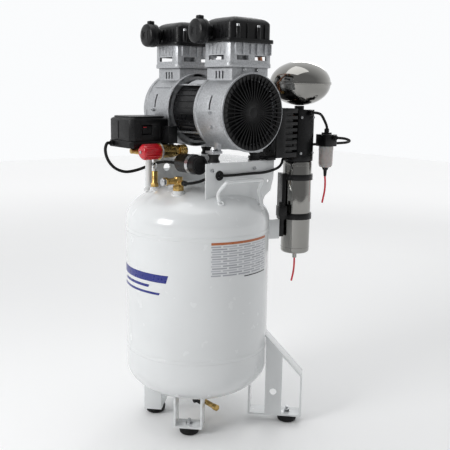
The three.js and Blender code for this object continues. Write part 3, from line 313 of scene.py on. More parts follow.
def decal_ink(colours):
    material, tree, surface, place = shader("decal_ink", colours.ink, 0.3)
    vary_colour(tree, surface, noise(tree, place, 300), colours.ink, 0.2)
    vary_roughness(tree, surface, noise(tree, place, 90), 0.24, 0.36)
    bumped(tree, surface, noise(tree, place, 700, 2), 0.08, 0.0002)
    return material


def printed_label(colours):
    """White vinyl with plain grey blocks in rows under one orange rule, read from the label's own UV map."""
    material, tree, surface, place = shader("printed_label", (0.7, 0.71, 0.72), 0.32)
    where = tree.nodes.new("ShaderNodeUVMap")
    where.uv_map = "UVMap"
    rows = tree.nodes.new("ShaderNodeTexBrick")
    for socket, value in {"Scale": 1.0, "Mortar Size": 0.016, "Brick Width": 0.24, "Row Height": 0.07,
                          "Mortar Smooth": 0.2, "Bias": -0.1}.items():
        rows.inputs[socket].default_value = value
    rows.offset = 0.37
    rows.inputs["Color1"].default_value = (0.36, 0.37, 0.4, 1)
    rows.inputs["Color2"].default_value = (0.55, 0.56, 0.59, 1)
    rows.inputs["Mortar"].default_value = (0.7, 0.71, 0.72, 1)
    tree.links.new(where.outputs["UV"], rows.inputs["Vector"])
    split = tree.nodes.new("ShaderNodeSeparateXYZ")
    tree.links.new(where.outputs["UV"], split.inputs["Vector"])
    rule = tree.nodes.new("ShaderNodeMath")
    rule.operation = "GREATER_THAN"
    rule.inputs[1].default_value = 0.93
    tree.links.new(split.outputs["Y"], rule.inputs[0])
    mix = tree.nodes.new("ShaderNodeMix")
    mix.data_type = "RGBA"
    mix.inputs["B"].default_value = (0.45, 0.13, 0.04, 1)
    tree.links.new(rule.outputs["Value"], mix.inputs["Factor"])
    tree.links.new(rows.outputs["Color"], mix.inputs["A"])
    tree.links.new(mix.outputs["Result"], surface.inputs["Base Color"])
    vary_roughness(tree, surface, noise(tree, place, 80), 0.26, 0.38)
    bumped(tree, surface, noise(tree, place, 700, 2), 0.06, 0.0002)
    return material


FINISHES = {
    "white_paint": gloss_paint,
    "cast_aluminium": cast_metal,
    "black_casting": coated_black,
    "black_paint": coated_black,
    "black_plastic": moulded_black,
    "rubber": rubber,
    "steel": turned_steel,
    "brass": machined_brass,
    "copper": copper_pipe,
    "chrome": polished_steel,
    "red_plastic": gloss_red,
    "red_tube": red_tube,
    "bowl_plastic": cloudy_bowl,
}
made = {}


def finish_for(slot):
    """The material for one of the record's slots, made once."""
    maker = FINISHES[slot]
    if maker not in made:
        made[maker] = maker(bpy.context.scene.compressor_colours)
    return made[maker]


# ------------------------------------------------------------------ modelling helpers


def deselect():
    if bpy.context.object and bpy.context.object.mode != "OBJECT":
        bpy.ops.object.mode_set(mode="OBJECT")
    bpy.ops.object.select_all(action="DESELECT")


def pick(*pieces):
    deselect()
    for piece in pieces:
        piece.select_set(True)
    bpy.context.view_layer.objects.active = pieces[0]
    return pieces[0]


def settle():
    """Puts the active object's place, turn and size into its mesh."""
    bpy.ops.object.transform_apply(location=True, rotation=True, scale=True)
    return bpy.context.object


def joined(pieces):
    pick(*pieces)
    if len(pieces) > 1:
        bpy.ops.object.join()
    return bpy.context.object


def towards(direction):
    """The turn that takes +Z to a direction."""
    return Vector(direction).normalized().to_track_quat("Z", "Y").to_matrix().to_4x4()


def moved(piece, place, direction=UP):
    piece.data.transform(Matrix.Translation(place) @ towards(direction))
    return piece


def copied(piece):
    twin = bpy.data.objects.new(piece.name, piece.data.copy())
    bpy.context.scene.collection.objects.link(twin)
    return twin


def smooth(piece, degrees=32):
    pick(piece)
    bpy.ops.object.shade_smooth_by_angle(angle=math.radians(degrees))
    return piece


def rounded(piece, width, segments=2, degrees=32):
    """Rounds the sharp edges and applies it."""
    pick(piece)
    bevel = piece.modifiers.new("edges", "BEVEL")
    bevel.width = width
    bevel.segments = segments
    bevel.limit_method = "ANGLE"
    bevel.angle_limit = math.radians(degrees)
    bevel.use_clamp_overlap = True
    bpy.ops.object.modifier_apply(modifier=bevel.name)
    return smooth(piece, degrees)


def done(piece, name, slot, body="machine", stands_for=()):
    """Names the piece, gives it its finish, and makes it ride on its body."""
    piece.name = name
    piece.data.name = name
    piece.data.materials.clear()
    piece.data.materials.append(finish_for(slot))
    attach(piece, body)
    if stands_for:
        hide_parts(*stands_for)
    return piece


def block(lowest, highest, edge=0.0):
    """A box between two corners, with rounded edges."""
    lowest, highest = Vector(lowest), Vector(highest)
    deselect()
    bpy.ops.mesh.primitive_cube_add(size=1, location=(lowest + highest) / 2)
    bpy.context.object.scale = highest - lowest
    piece = settle()
    return rounded(piece, edge) if edge else piece


def rod(start, end, radius, sides=32, edge=0.0):
    """A round bar between two points."""
    start, end = Vector(start), Vector(end)
    deselect()
    bpy.ops.mesh.primitive_cylinder_add(vertices=sides, radius=radius, depth=(end - start).length)
    piece = moved(bpy.context.object, (start + end) / 2, end - start)
    return rounded(piece, edge) if edge else piece


def turned(profile, place=(0, 0, 0), direction=UP, steps=72):
    """Spins a profile of (radius, height) pairs about an axis through a place."""
    deselect()
    mesh = bpy.data.meshes.new("turned")
    points = [(radius, 0, height) for radius, height in profile]
    mesh.from_pydata(points, [(i, i + 1) for i in range(len(points) - 1)], [])
    piece = bpy.data.objects.new("turned", mesh)
    bpy.context.scene.collection.objects.link(piece)
    pick(piece)
    bpy.ops.object.mode_set(mode="EDIT")
    bpy.ops.mesh.select_all(action="SELECT")
    bpy.ops.mesh.spin(steps=steps, angle=2 * math.pi, center=(0, 0, 0), axis=(0, 0, 1))
    bpy.ops.mesh.select_all(action="SELECT")
    bpy.ops.mesh.remove_doubles(threshold=1e-6)
    bpy.ops.mesh.normals_make_consistent(inside=False)
    bpy.ops.object.mode_set(mode="OBJECT")
    return smooth(moved(piece, Vector(place), direction))


def grown(place, base, corner, levels, steps=6):
    """A block with round corners grown upwards: each level is (rise, width, depth)."""
    deselect()
    bpy.ops.mesh.primitive_plane_add(size=1)
    piece = bpy.context.object
    width, depth = base
    piece.scale = (width, depth, 1)
    settle()
    bpy.ops.object.mode_set(mode="EDIT")
    bpy.ops.mesh.select_all(action="SELECT")
    bpy.ops.mesh.bevel(offset=corner, segments=steps, affect="VERTICES")
    bpy.ops.mesh.select_all(action="SELECT")
    for rise, next_width, next_depth in levels:
        bpy.ops.mesh.extrude_region_move(TRANSFORM_OT_translate={"value": (0, 0, rise)})
        size = (next_width / width, next_depth / depth, 1)
        bpy.ops.transform.resize(value=size, center_override=(0, 0, 0))
        width, depth = next_width, next_depth
    bpy.ops.mesh.select_all(action="SELECT")
    bpy.ops.mesh.normals_make_consistent(inside=False)
    bpy.ops.object.mode_set(mode="OBJECT")
    return smooth(moved(piece, Vector(place)))


def curve_through(points, per_span=8):
    """Points along the smooth centripetal curve that runs through the given ones."""
    points = [Vector(p) for p in points]
    ends = [2 * points[0] - points[1], *points, 2 * points[-1] - points[-2]]
    route = []
    for before, start, end, after in zip(ends, ends[1:], ends[2:], ends[3:]):
        gaps = [max((b - a).length, 1e-9) ** 0.5 for a, b in ((before, start), (start, end), (end, after))]
        first, span, last = gaps
        leave = ((start - before) / first - (end - before) / (first + span) + (end - start) / span) * span
        arrive = ((end - start) / span - (after - start) / (span + last) + (after - end) / last) * span
        for i in range(per_span):
            t = i / per_span
            bend = 3 * (end - start) - 2 * leave - arrive
            twist = 2 * (start - end) + leave + arrive
            route.append(start + leave * t + bend * t ** 2 + twist * t ** 3)
    return [*route, points[-1]]


def tube_curve(name, route, radius, sides=4):
    data = bpy.data.curves.new(name, "CURVE")
    data.dimensions = "3D"
    data.bevel_depth = radius
    data.bevel_resolution = sides
    data.use_fill_caps = True
    spline = data.splines.new("POLY")
    spline.points.add(len(route) - 1)
    for point, place in zip(spline.points, route):
        point.co = (*place, 1)
    piece = bpy.data.objects.new(name, data)
    bpy.context.scene.collection.objects.link(piece)
    return piece


def tube(points, radius, per_span=8, sides=4):
    """A smooth round tube through the given points, as a mesh."""
    piece = tube_curve("tube", curve_through(points, per_span), radius, sides)
    pick(piece)
    bpy.ops.object.convert(target="MESH")
    return smooth(bpy.context.object, 50)


def ring(place, direction, major, minor):
    deselect()
    bpy.ops.mesh.primitive_torus_add(
        major_radius=major, minor_radius=minor, major_segments=48, minor_segments=10)
    return smooth(moved(bpy.context.object, Vector(place), direction), 60)


def refined(node, edge, degrees=32):
    """A copy of a frame node with its loose faces merged and its sharp edges rounded."""
    piece = bpy.data.objects.new(node + "_finished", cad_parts[node].data.copy())
    bpy.context.scene.collection.objects.link(piece)
    pick(piece)
    bpy.ops.object.mode_set(mode="EDIT")
    bpy.ops.mesh.select_all(action="SELECT")
    bpy.ops.mesh.remove_doubles(threshold=1e-5)
    bpy.ops.mesh.dissolve_limited(angle_limit=math.radians(1))
    bpy.ops.object.mode_set(mode="OBJECT")
    return rounded(piece, edge, 2, degrees)


def cap_screw(place, direction, radius):
    """A socket-head screw standing on a face."""
    deselect()
    bpy.ops.mesh.primitive_cylinder_add(vertices=24, radius=radius, depth=radius * 1.3)
    piece = bpy.context.object
    bpy.ops.object.mode_set(mode="EDIT")
    bpy.ops.mesh.select_all(action="DESELECT")
    bpy.ops.object.mode_set(mode="OBJECT")
    for face in piece.data.polygons:
        face.select = face.normal.z > 0.9
    bpy.ops.object.mode_set(mode="EDIT")
    bpy.ops.mesh.inset(thickness=radius * 0.42)
    bpy.ops.mesh.extrude_region_move(TRANSFORM_OT_translate={"value": (0, 0, -radius * 0.8)})
    bpy.ops.object.mode_set(mode="OBJECT")
    direction = Vector(direction).normalized()
    return rounded(moved(piece, Vector(place) + direction * radius * 0.6, direction), radius * 0.08, 1)


def hex_nut(place, direction, across, height, bore):
    """A hexagon nut whose lower face is at a place."""
    radius = across / math.sqrt(3)
    deselect()
    bpy.ops.mesh.primitive_cylinder_add(vertices=6, radius=radius, depth=height)
    piece = bpy.context.object
    for face in piece.data.polygons:
        face.select = face.normal.z > 0.9
    bpy.ops.object.mode_set(mode="EDIT")
    bpy.ops.mesh.inset(thickness=max(radius - bore, radius * 0.1))
    bpy.ops.mesh.extrude_region_move(TRANSFORM_OT_translate={"value": (0, 0, -height * 0.3)})
    bpy.ops.object.mode_set(mode="OBJECT")
    direction = Vector(direction).normalized()
    return rounded(moved(piece, Vector(place) + direction * height / 2, direction), across * 0.05, 2)


def screws(name, places, radius, slot="steel", body="machine"):
    """A group of like socket screws, one piece; places holds (point, direction) pairs."""
    heads = [cap_screw(place, direction, radius) for place, direction in places]
    return done(joined(heads), name, slot, body)


def ellipse_quarter(radius, depth, rim, steps, upper):
    """Half of a dished end, from its pole to its rim if lower, or from rim to pole if upper."""
    sign = 1 if upper else -1
    angles = [i / steps * math.pi / 2 for i in range(steps + 1)]
    points = [(radius * math.sin(a), rim + sign * depth * math.cos(a)) for a in angles]
    return points[::-1] if upper else points


# ------------------------------------------------------------------ stage: camera, light, floor


def build_stage():
    """The camera stands in front and to the right, a little above the heads, with large soft lights."""
    azimuth, yaw, pitch, roll = [math.radians(a) for a in (54.11, 2.19, 10.58, 0.884)]
    distance, height = 1.88996, 0.88935
    across = Vector((math.cos(azimuth), math.sin(azimuth), 0))
    back = Vector((math.sin(azimuth), -math.cos(azimuth), 0))
    level = -back * math.cos(yaw) + across * math.sin(yaw)
    right = across * math.cos(yaw) + back * math.sin(yaw)
    ahead = level * math.cos(pitch) - UP * math.sin(pitch)
    top = UP * math.cos(pitch) + level * math.sin(pitch)
    side = right * math.cos(roll) + top * math.sin(roll)
    crown = top * math.cos(roll) - right * math.sin(roll)
    camera = bpy.data.objects.new("camera", bpy.data.cameras.new("camera"))
    camera.data.lens = 57.6
    camera.data.sensor_width = 36
    camera.data.clip_end = 50
    turn = Matrix((side, crown, -ahead)).transposed().to_4x4()
    camera.matrix_world = Matrix.Translation(AXIS + back * distance + UP * height) @ turn
    bpy.context.scene.collection.objects.link(camera)
    bpy.context.scene.camera = camera
    build_floor()
    build_lights()


def build_floor():
    deselect()
    bpy.ops.mesh.primitive_plane_add(size=14)
    floor = bpy.context.object
    floor.name = "floor"
    material, tree, surface, place = shader("pale_floor", (0.9, 0.9, 0.9), 0.7)
    vary_roughness(tree, surface, noise(tree, place, 3), 0.66, 0.76)
    # The floor glows more the farther it lies from the machine: painted light that fades it into the backdrop.
    reach = tree.nodes.new("ShaderNodeVectorMath")
    reach.operation = "LENGTH"
    tree.links.new(place, reach.inputs[0])
    glow = tree.nodes.new("ShaderNodeMapRange")
    glow.interpolation_type = "SMOOTHSTEP"
    for socket, value in {"From Min": 0.8, "From Max": 5.0, "To Min": 0.0, "To Max": 0.34}.items():
        glow.inputs[socket].default_value = value
    tree.links.new(reach.outputs["Value"], glow.inputs["Value"])
    tree.links.new(glow.outputs["Result"], surface.inputs["Emission Strength"])
    surface.inputs["Emission Color"].default_value = (1, 1, 1, 1)
    floor.data.materials.append(material)
    world = bpy.data.worlds.new("studio")
    bpy.context.scene.world = world
    world.use_nodes = True
    tree = world.node_tree
    backdrop = tree.nodes["Background"]
    backdrop.inputs["Color"].default_value = (0.98, 0.99, 1, 1)
    direction = tree.nodes.new("ShaderNodeTexCoord")
    facing = tree.nodes.new("ShaderNodeVectorMath")
    facing.operation = "DOT_PRODUCT"
    facing.inputs[1].default_value = (-0.81, 0.586, 0)
    tree.links.new(direction.outputs["Generated"], facing.inputs[0])
    fade = tree.nodes.new("ShaderNodeMapRange")
    for socket, value in {"From Min": -0.5, "From Max": 0.6, "To Min": 0.3, "To Max": 0.98}.items():
        fade.inputs[socket].default_value = value
    tree.links.new(facing.outputs["Value"], fade.inputs["Value"])
    tree.links.new(fade.outputs["Result"], backdrop.inputs["Strength"])
    bpy.context.scene.view_settings.view_transform = "Standard"


def build_lights():
    """Each light is (name, place, size, watts)."""
    lights = (
        ("key", (0.0, -2.7, 1.7), 1.1, 36),
        ("overhead", (0.0, -0.2, 2.8), 1.6, 12),
        ("rim", (-1.4, 1.9, 1.8), 0.8, 8),
    )
    for name, place, size, watts in lights:
        light = bpy.data.lights.new(name, "AREA")
        light.size = size
        light.energy = watts
        lamp = bpy.data.objects.new(name, light)
        lamp.location = place
        lamp.rotation_euler = (Vector((0, 0, 0.6)) - Vector(place)).to_track_quat("-Z", "Y").to_euler()
        bpy.context.scene.collection.objects.link(lamp)


# ------------------------------------------------------------------ hanging drain tubes


def build_drain_tubes():
    radius = (0.0026)
    canister = low("dryer_canister").z / MM - 0.3
    bowl = low("filter_bowl").z / MM - 0.3
    x, y = [v / MM for v in (DRYER - AXIS).xy]
    bx, by = [v / MM for v in (middle("filter_bowl") - AXIS).xy]
    routes = {
        "canister_drain_tube": [at(x, y, canister), at(x, y, canister - 18), at(x - 1, y - 1, canister - 40),
                                at(x - 4, y - 5, canister - 67)],
        "filter_drain_tube": [at(bx, by, bowl), at(bx + 1, by + 1, bowl - 18), at(bx + 1, by, bowl - 40),
                              at(bx - 3, by - 4, bowl - 74)],
    }
    for node, points in routes.items():
        route = curve_through(points, 6)
        piece = tube_curve(node + "_hanging", route, radius)
        piece.data.materials.append(finish_for("red_tube"))
        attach(piece, "machine")
        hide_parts(node)


# ------------------------------------------------------------------ tank


def tank_profile(sizes):
    """The tank's outside from its lowest point to its highest, with its two round welds."""
    points = ellipse_quarter(TANK_RADIUS, sizes.head_depth, sizes.lower_rim, 20, False)
    for seam in (sizes.lower_seam, sizes.upper_seam):
        for step in range(9):
            turn = step / 8 * math.pi
            rise = sizes.seam_rise * math.sin(turn)
            points.append((TANK_RADIUS + rise, seam - 0.005 * math.cos(turn)))
    return points + ellipse_quarter(TANK_RADIUS, sizes.head_depth, sizes.upper_rim, 20, True)


def dome(x, y, sizes):
    """Height of the upper head in metres above the floor, at a place in millimetres from the axis."""
    share = 1 - (x * x + y * y) * MM * MM / TANK_RADIUS ** 2
    return sizes.upper_rim + sizes.head_depth * math.sqrt(max(0, share))


def bung(x, y, radius, bore, sizes):
    """A threaded boss in the upper head with its weld."""
    z = dome(x, y, sizes)
    foot = at(x, y, 0) + UP * (z - 0.012)
    rise = 0.019
    body = turned([(bore, 0), (radius, 0), (radius, rise - 0.001), (radius - 0.001, rise), (bore, rise),
                   (bore, 0)], foot)
    lean = Vector((x, y, 0)) * MM
    slope = (lean.length / TANK_RADIUS ** 2 * sizes.head_depth ** 2) / max(z - sizes.upper_rim, 0.01)
    normal = (lean.normalized() * slope + UP).normalized()
    weld = ring(at(x, y, 0) + UP * z, normal, radius + 0.001, sizes.weld_bead)
    return [body, weld]


def build_tank():
    sizes = bpy.context.scene.compressor_sizes
    shell = turned(tank_profile(sizes), AXIS, UP, 144)
    parts = [shell]
    parts += bung(50, -98, 0.014, 0.009, sizes)
    parts += bung(-55, -101, 0.012, 0.007, sizes)
    riser = Vector((-0.0946, (low("regulator_manifold") - AXIS).y, 0))
    riser_y = -94.5
    top = high("tank_shell").z
    foot = dome(-94.6, riser_y, sizes) - 0.02
    post = AXIS + Vector((riser.x, riser_y * MM, foot))
    parts.append(turned([(0.0, 0), (0.009, 0), (0.009, top - foot), (0.006, top - foot), (0.006, top - foot - 0.02),
                         (0, top - foot - 0.02)], post))
    parts.append(turned([(0.009, -0.004), (0.0145, -0.002), (0.0125, 0.003), (0.009, 0.007), (0.009, -0.004)],
                        post + UP * 0.022))
    drain = low("tank_shell").z
    parts.append(turned([(0.009, 0), (0.014, 0), (0.015, 0.001), (0.015, 0.012), (0.009, 0.012), (0.009, 0)],
                        AXIS + UP * drain, UP, 48))
    done(joined(parts), "tank", "white_paint", stands_for=("tank_shell",))
    build_dryer_arm(sizes)


def build_dryer_arm(sizes):
    """The welded plate that holds the dryer off the tank's back."""
    out = (DRYER - AXIS)
    out.z = 0
    reach = out.length - 0.0395 - 0.014 - 0.0006
    turn = Matrix.Rotation(math.atan2(out.y, out.x), 4, "Z")
    height = low("dryer_canister").z + 0.018 + 0.07
    arm = block((TANK_RADIUS - 0.002, -0.015, -0.028), (reach, -0.009, 0.026), 0.0014)
    beads = [rod((TANK_RADIUS, y, -0.027), (TANK_RADIUS, y, 0.025), sizes.weld_bead, 12) for y in (-0.016, -0.008)]
    arm = joined([arm, *beads])
    arm.data.transform(Matrix.Translation(AXIS + UP * height) @ turn)
    done(arm, "dryer_arm", "white_paint")


# ------------------------------------------------------------------ legs, feet, handles


def build_legs():
    sizes = bpy.context.scene.compressor_sizes
    for corner in ("front_right", "front_left", "rear_right", "rear_left"):
        leg = refined("leg_" + corner, sizes.edge)
        done(leg, f"leg_{corner}_folded", "white_paint", stands_for=("leg_" + corner,))
        build_foot(corner)


def build_foot(corner):
    """A moulded rubber pad, with its stud, washer and nut on the leg."""
    node = "foot_" + corner
    centre = middle(node)
    base = Vector((centre.x, centre.y, 0))
    top = high(node).z
    pad = turned([(0, 0), (0.0205, 0), (0.0215, 0.0008), (0.0235, 0.0018), (0.025, 0.0035), (0.0262, 0.0105),
                  (0.027, 0.0155), (0.0268, 0.0178), (0.0258, 0.019), (0, 0.019)], base)
    done(pad, f"foot_{corner}_pad", "rubber", stands_for=(node,))
    strap = 0.0243
    stud = rod(base + UP * 0.018, base + UP * top, 0.004, 24, 0.0006)
    threads = [ring(base + UP * (strap + 0.0085 + 0.0012 * i), UP, 0.0039, 0.00045) for i in range(4)]
    washer = turned([(0.0042, 0), (0.009, 0), (0.009, 0.0014), (0.0042, 0.0014), (0.0042, 0)], base + UP * strap)
    nut = hex_nut(base + UP * (strap + 0.0014), UP, 0.013, 0.0065, 0.0043)
    done(joined([stud, washer, nut, *threads]), f"foot_{corner}_stud", "steel")


def build_handles():
    sizes = bpy.context.scene.compressor_sizes
    grip = (sizes.upper_rim + sizes.head_depth) / MM + 16
    knee, foot, mid, half = grip - 32, 146, 30, 66
    for side, sign in (("right", 1), ("left", -1)):
        def end(way):
            y = mid + way * half
            inboard = mid + way * (half - 8)
            rim = sizes.upper_rim / MM
            route = [(foot - 2, y, rim + 20), (foot, y, rim + 46), (foot - 12, y, knee), (foot, y - way * 3, grip - 14),
                     (foot + 10, inboard, grip - 2), (foot + 12, inboard - way * 12, grip)]
            return [at(sign * x, y, z) for x, y, z in route]

        bar = tube([*end(-1), *reversed(end(1))], 0.005, 10, 5)
        welds = []
        for way in (-1, 1):
            y = mid + way * half
            welds.append(ring(at(sign * foot, y, 0) + UP * (dome(foot, y, sizes) + 0.001),
                              Vector((sign * 0.6, 0.2 * way, 0.8)), 0.0062, sizes.weld_bead))
        done(joined([bar, *welds]), f"handle_{side}_bar", "white_paint", stands_for=("handle_" + side,))


# ------------------------------------------------------------------ motor deck


def build_platform():
    sizes = bpy.context.scene.compressor_sizes
    deck = refined("motor_platform", sizes.edge)
    done(deck, "motor_deck", "white_paint", stands_for=("motor_platform",))
    bolts = []
    for end in ("front", "rear"):
        for side in ("right", "left"):
            node = f"isolator_{end}_{side}"
            build_isolator(node)
            base = middle(node)
            bolts.append(hex_nut(Vector((base.x, base.y, high(node).z + 0.0065)), UP, 0.013, 0.006, 0.0042))
    done(joined(bolts), "motor_foot_nuts", "steel")
    edge = high("motor_platform").x
    places = [(Vector((edge * way, AXIS.y + y, DECK_TOP - 0.018)), RIGHT * way)
              for way in (1, -1) for y in (-0.046, 0.09)]
    screws("deck_screws", places, 0.0045)


def build_isolator(node):
    base = middle(node)
    foot = Vector((base.x, base.y, low(node).z))
    height = high(node).z - foot.z
    waist = height / 2
    body = turned([(0, 0.0015), (0.0145, 0.0015), (0.015, 0.003), (0.0145, 0.005), (0.0122, waist - 0.003),
                   (0.0118, waist), (0.0122, waist + 0.003), (0.0145, height - 0.005), (0.015, height - 0.003),
                   (0.0145, height - 0.0015), (0, height - 0.0015)], foot, UP, 48)
    done(body, node + "_rubber", "rubber", stands_for=(node,))
    plates = [turned([(0, z), (0.0148, z), (0.015, z + 0.0003), (0.015, z + 0.0012), (0.0148, z + 0.0015),
                      (0, z + 0.0015)], foot, UP, 48) for z in (0.0, height - 0.0015)]
    done(joined(plates), node + "_plates", "steel")


# ------------------------------------------------------------------ motor and pump


def build_motor():
    """The laminated stator between the castings, with its cooling ribs, tie rods and data plate."""
    half = (high("motor_stator").x - low("motor_stator").x) / 2
    radius = 0.078
    profile = [(0.0465, -half), (radius - 0.002, -half), (radius, -half + 0.002)]
    profile += [(radius, half - 0.002), (radius - 0.002, half), (0.0465, half), (0.0465, -half)]
    body = turned(profile, SHAFT, RIGHT, 96)
    ribs = []
    for i in range(30):
        rib = block((-0.0011, radius - 0.001, -half + 0.006), (0.0011, radius + 0.0024, half - 0.006), 0.0004)
        rib.data.transform(Matrix.Rotation(i / 30 * 2 * math.pi, 4, "Z"))
        ribs.append(moved(rib, SHAFT, RIGHT))
    done(joined([body, *ribs]), "motor_body", "black_paint", stands_for=("motor_stator",))
    rods = []
    for turn in (40, 130, 220, 310):
        lean = Vector((0, math.cos(math.radians(turn)), math.sin(math.radians(turn)))) * 0.085
        rods.append(rod(SHAFT + lean - RIGHT * (half + 0.004), SHAFT + lean + RIGHT * (half + 0.004), 0.0028, 16))
    done(joined(rods), "motor_tie_rods", "steel")


def build_crankcases():
    sizes = bpy.context.scene.compressor_sizes
    for side, sign in (("right", 1), ("left", -1)):
        node = "crankcase_" + side
        case = refined(node, sizes.edge * 1.2)
        outer = high(node).x if sign > 0 else low(node).x
        inner = low(node).x if sign > 0 else high(node).x
        rim = turned([(0.0945, -0.001), (0.0962, -0.001), (0.0968, -0.002), (0.0965, -0.011), (0.0945, -0.013),
                      (0.0945, -0.001)], Vector((outer, SHAFT.y, SHAFT.z)), RIGHT * sign, 96)
        collar = turned([(0.079, 0), (0.0945, 0), (0.0965, 0.002), (0.0965, 0.010), (0.0945, 0.012), (0.079, 0.012),
                         (0.079, 0)], Vector((inner, SHAFT.y, SHAFT.z)), RIGHT * sign, 96)
        webs = []
        for turn in (200, 232, 308, 340):
            web = block((-0.0018, 0.088, 0.012), (0.0018, 0.0975, 0.09), 0.0006)
            web.data.transform(Matrix.Rotation(math.radians(turn), 4, "Z"))
            webs.append(moved(web, Vector((inner, SHAFT.y, SHAFT.z)), RIGHT * sign))
        done(joined([case, rim, collar, *webs]), f"crankcase_{side}_casting", "cast_aluminium", stands_for=(node,))
        build_case_screws(side, sign, inner)


def on_case(x, degrees):
    """A point on a crankcase's round and the way out from it; 180 degrees is the front, 90 the top."""
    turn = math.radians(degrees)
    out = Vector((0, math.cos(turn), math.sin(turn)))
    return Vector((x, SHAFT.y, SHAFT.z)) + out * 0.095, out


def build_case_screws(side, sign, inner):
    places = [on_case(inner + sign * 0.07, 180.6), on_case(inner + sign * 0.066, 201.6)]
    for turn in (38, 128, 218, 308):
        centre, out = on_case(inner + sign * 0.006, turn)
        places.append((centre - out * 0.006 + RIGHT * sign * 0.006, RIGHT * sign))
    screws(f"crankcase_{side}_screws", places, 0.0042)


def build_cylinders():
    sizes = bpy.context.scene.compressor_sizes
    for side, sign in (("right", 1), ("left", -1)):
        node = "cylinder_" + side
        body = refined(node, sizes.edge)
        lo, hi, mid = low(node), high(node), middle(node)
        fins = []
        for way in (1, -1):
            face = hi.x if way > 0 else lo.x
            for offset in (-0.052, -0.028, -0.004, 0.015, 0.040, 0.058):
                x0, x1 = sorted((face - way * 0.001, face + way * 0.0045))
                fins.append(block((x0, mid.y + offset - 0.0016, lo.z + 0.03),
                                  (x1, mid.y + offset + 0.0016, hi.z - 0.0015), 0.0008))
        for way in (1, -1):
            face = hi.y if way > 0 else lo.y
            y0, y1 = sorted((face - way * 0.001, face + way * 0.0012))
            for offset in (-0.03, -0.015, 0, 0.015, 0.03):
                fins.append(block((mid.x + offset - 0.001, y0, lo.z + 0.031),
                                  (mid.x + offset + 0.001, y1, hi.z - 0.003), 0.0005))
        foot = grown(Vector((mid.x, mid.y, lo.z)), (0.1092, 0.1342), 0.0145,
                     [(0.0018, 0.1105, 0.1355), (0.007, 0.1105, 0.1355), (0.0018, 0.1092, 0.1342)])
        hollow = fins + [foot]
        done(joined([body, *hollow]), f"cylinder_{side}_block", "cast_aluminium", stands_for=(node,))
        places = [(Vector((mid.x + x, mid.y + y, lo.z - 0.006)), Vector((x, y, 0)))
                  for x, y in ((0.05 * sign, -0.02), (0.05 * sign, 0.02))]
        screws(f"cylinder_{side}_screws", places, 0.004)


def head_levels(width, depth, height):
    """Upright walls with a shallow domed crown."""
    levels = [(height - 0.017 - 0.009, width, depth)]
    for share, rise in ((0.975, 0.003), (0.93, 0.0034), (0.85, 0.0034), (0.72, 0.003), (0.54, 0.0022),
                        (0.32, 0.0014), (0.1, 0.0006)):
        levels.append((rise, width * share, depth * share))
    return levels


def build_heads():
    for side, sign in (("right", 1), ("left", -1)):
        node = "cylinder_head_" + side
        lo, hi, mid = low(node), high(node), middle(node)
        base = Vector((mid.x, mid.y, lo.z))
        flange = grown(base, (0.117, 0.142), 0.014, [(0.001, 0.118, 0.143), (0.007, 0.118, 0.143), (0.001, 0.117, 0.142)])
        crown = grown(base + UP * 0.0088, (0.106, 0.128), 0.013, head_levels(0.106, 0.128, hi.z - lo.z))
        parts = [flange, rounded(crown, 0.001, 2, 40)]
        places = []
        for way in (1, -1):
            face = mid.x + way * 0.053
            for y in (-0.044, 0.019):
                centre = Vector((face + way * 0.0008, mid.y + y, 0))
                parts.append(rod(centre + UP * (lo.z + 0.008), centre + UP * (lo.z + 0.036), 0.0062, 24, 0.0008))
                places.append((centre + UP * (lo.z + 0.036), UP))
            for y in (-0.015, 0.04):
                x0, x1 = sorted((face - way * 0.002, face + way * 0.0026))
                parts.append(block((x0, mid.y + y - 0.0016, lo.z + 0.009), (x1, mid.y + y + 0.0016, hi.z - 0.019),
                                   0.0008))
        for offset in (-0.032, -0.016, 0, 0.016, 0.032):
            for way in (1, -1):
                y0, y1 = sorted((mid.y + way * 0.062, mid.y + way * 0.0655))
                parts.append(block((mid.x + offset - 0.0014, y0, lo.z + 0.009),
                                   (mid.x + offset + 0.0014, y1, hi.z - 0.021), 0.0006))
        done(joined(parts), f"cylinder_head_{side}_casting", "black_casting", stands_for=(node,))
        screws(f"cylinder_head_{side}_screws", places, 0.0044)


def build_filters():
    """The intake silencers: a cup with a rolled edge, a slotted collar and its spigot."""
    for side in ("right", "left"):
        node = "intake_filter_" + side
        lo, hi, mid = low(node), high(node), middle(node)
        radius = (hi.x - lo.x) / 2
        place = Vector((mid.x, lo.y, lo.z + radius))
        back = hi.y - lo.y
        profile = [(0, 0.0012), (0.008, 0.001), (0.0085, 0), (radius - 0.012, 0), (radius - 0.006, 0.0006),
                   (radius - 0.0018, 0.003), (radius, 0.0075), (radius, 0.0145), (radius - 0.0012, 0.0155),
                   (radius - 0.0012, 0.018), (radius, 0.019), (radius, 0.0265), (radius - 0.001, 0.0305),
                   (radius - 0.004, 0.0335), (radius - 0.012, 0.0345), (0, 0.0345)]
        cup = turned(profile, place, -FRONT, 72)
        spigot = turned([(0, 0.033), (0.0165, 0.033), (0.0165, 0.037), (0.0125, 0.038), (0.0125, back), (0, back)],
                        place + UP * 0.002, -FRONT, 48)
        lug = block((mid.x - 0.007, lo.y + 0.010, lo.z + 2 * radius - 0.004), (mid.x + 0.007, lo.y + 0.026, hi.z),
                    0.0025)
        eye = ring(Vector((mid.x, lo.y + 0.018, hi.z - 0.0042)), RIGHT, 0.0042, 0.0011)
        bars = [block((mid.x + x - 0.0012, lo.y - 0.0009, place.z - 0.012), (mid.x + x + 0.0012, lo.y + 0.001,
                                                                         place.z + 0.012), 0.0004)
                for x in (-0.012, 0.012)]
        done(joined([cup, spigot, lug, eye, *bars]), f"intake_filter_{side}_silencer", "black_plastic", stands_for=(node,))


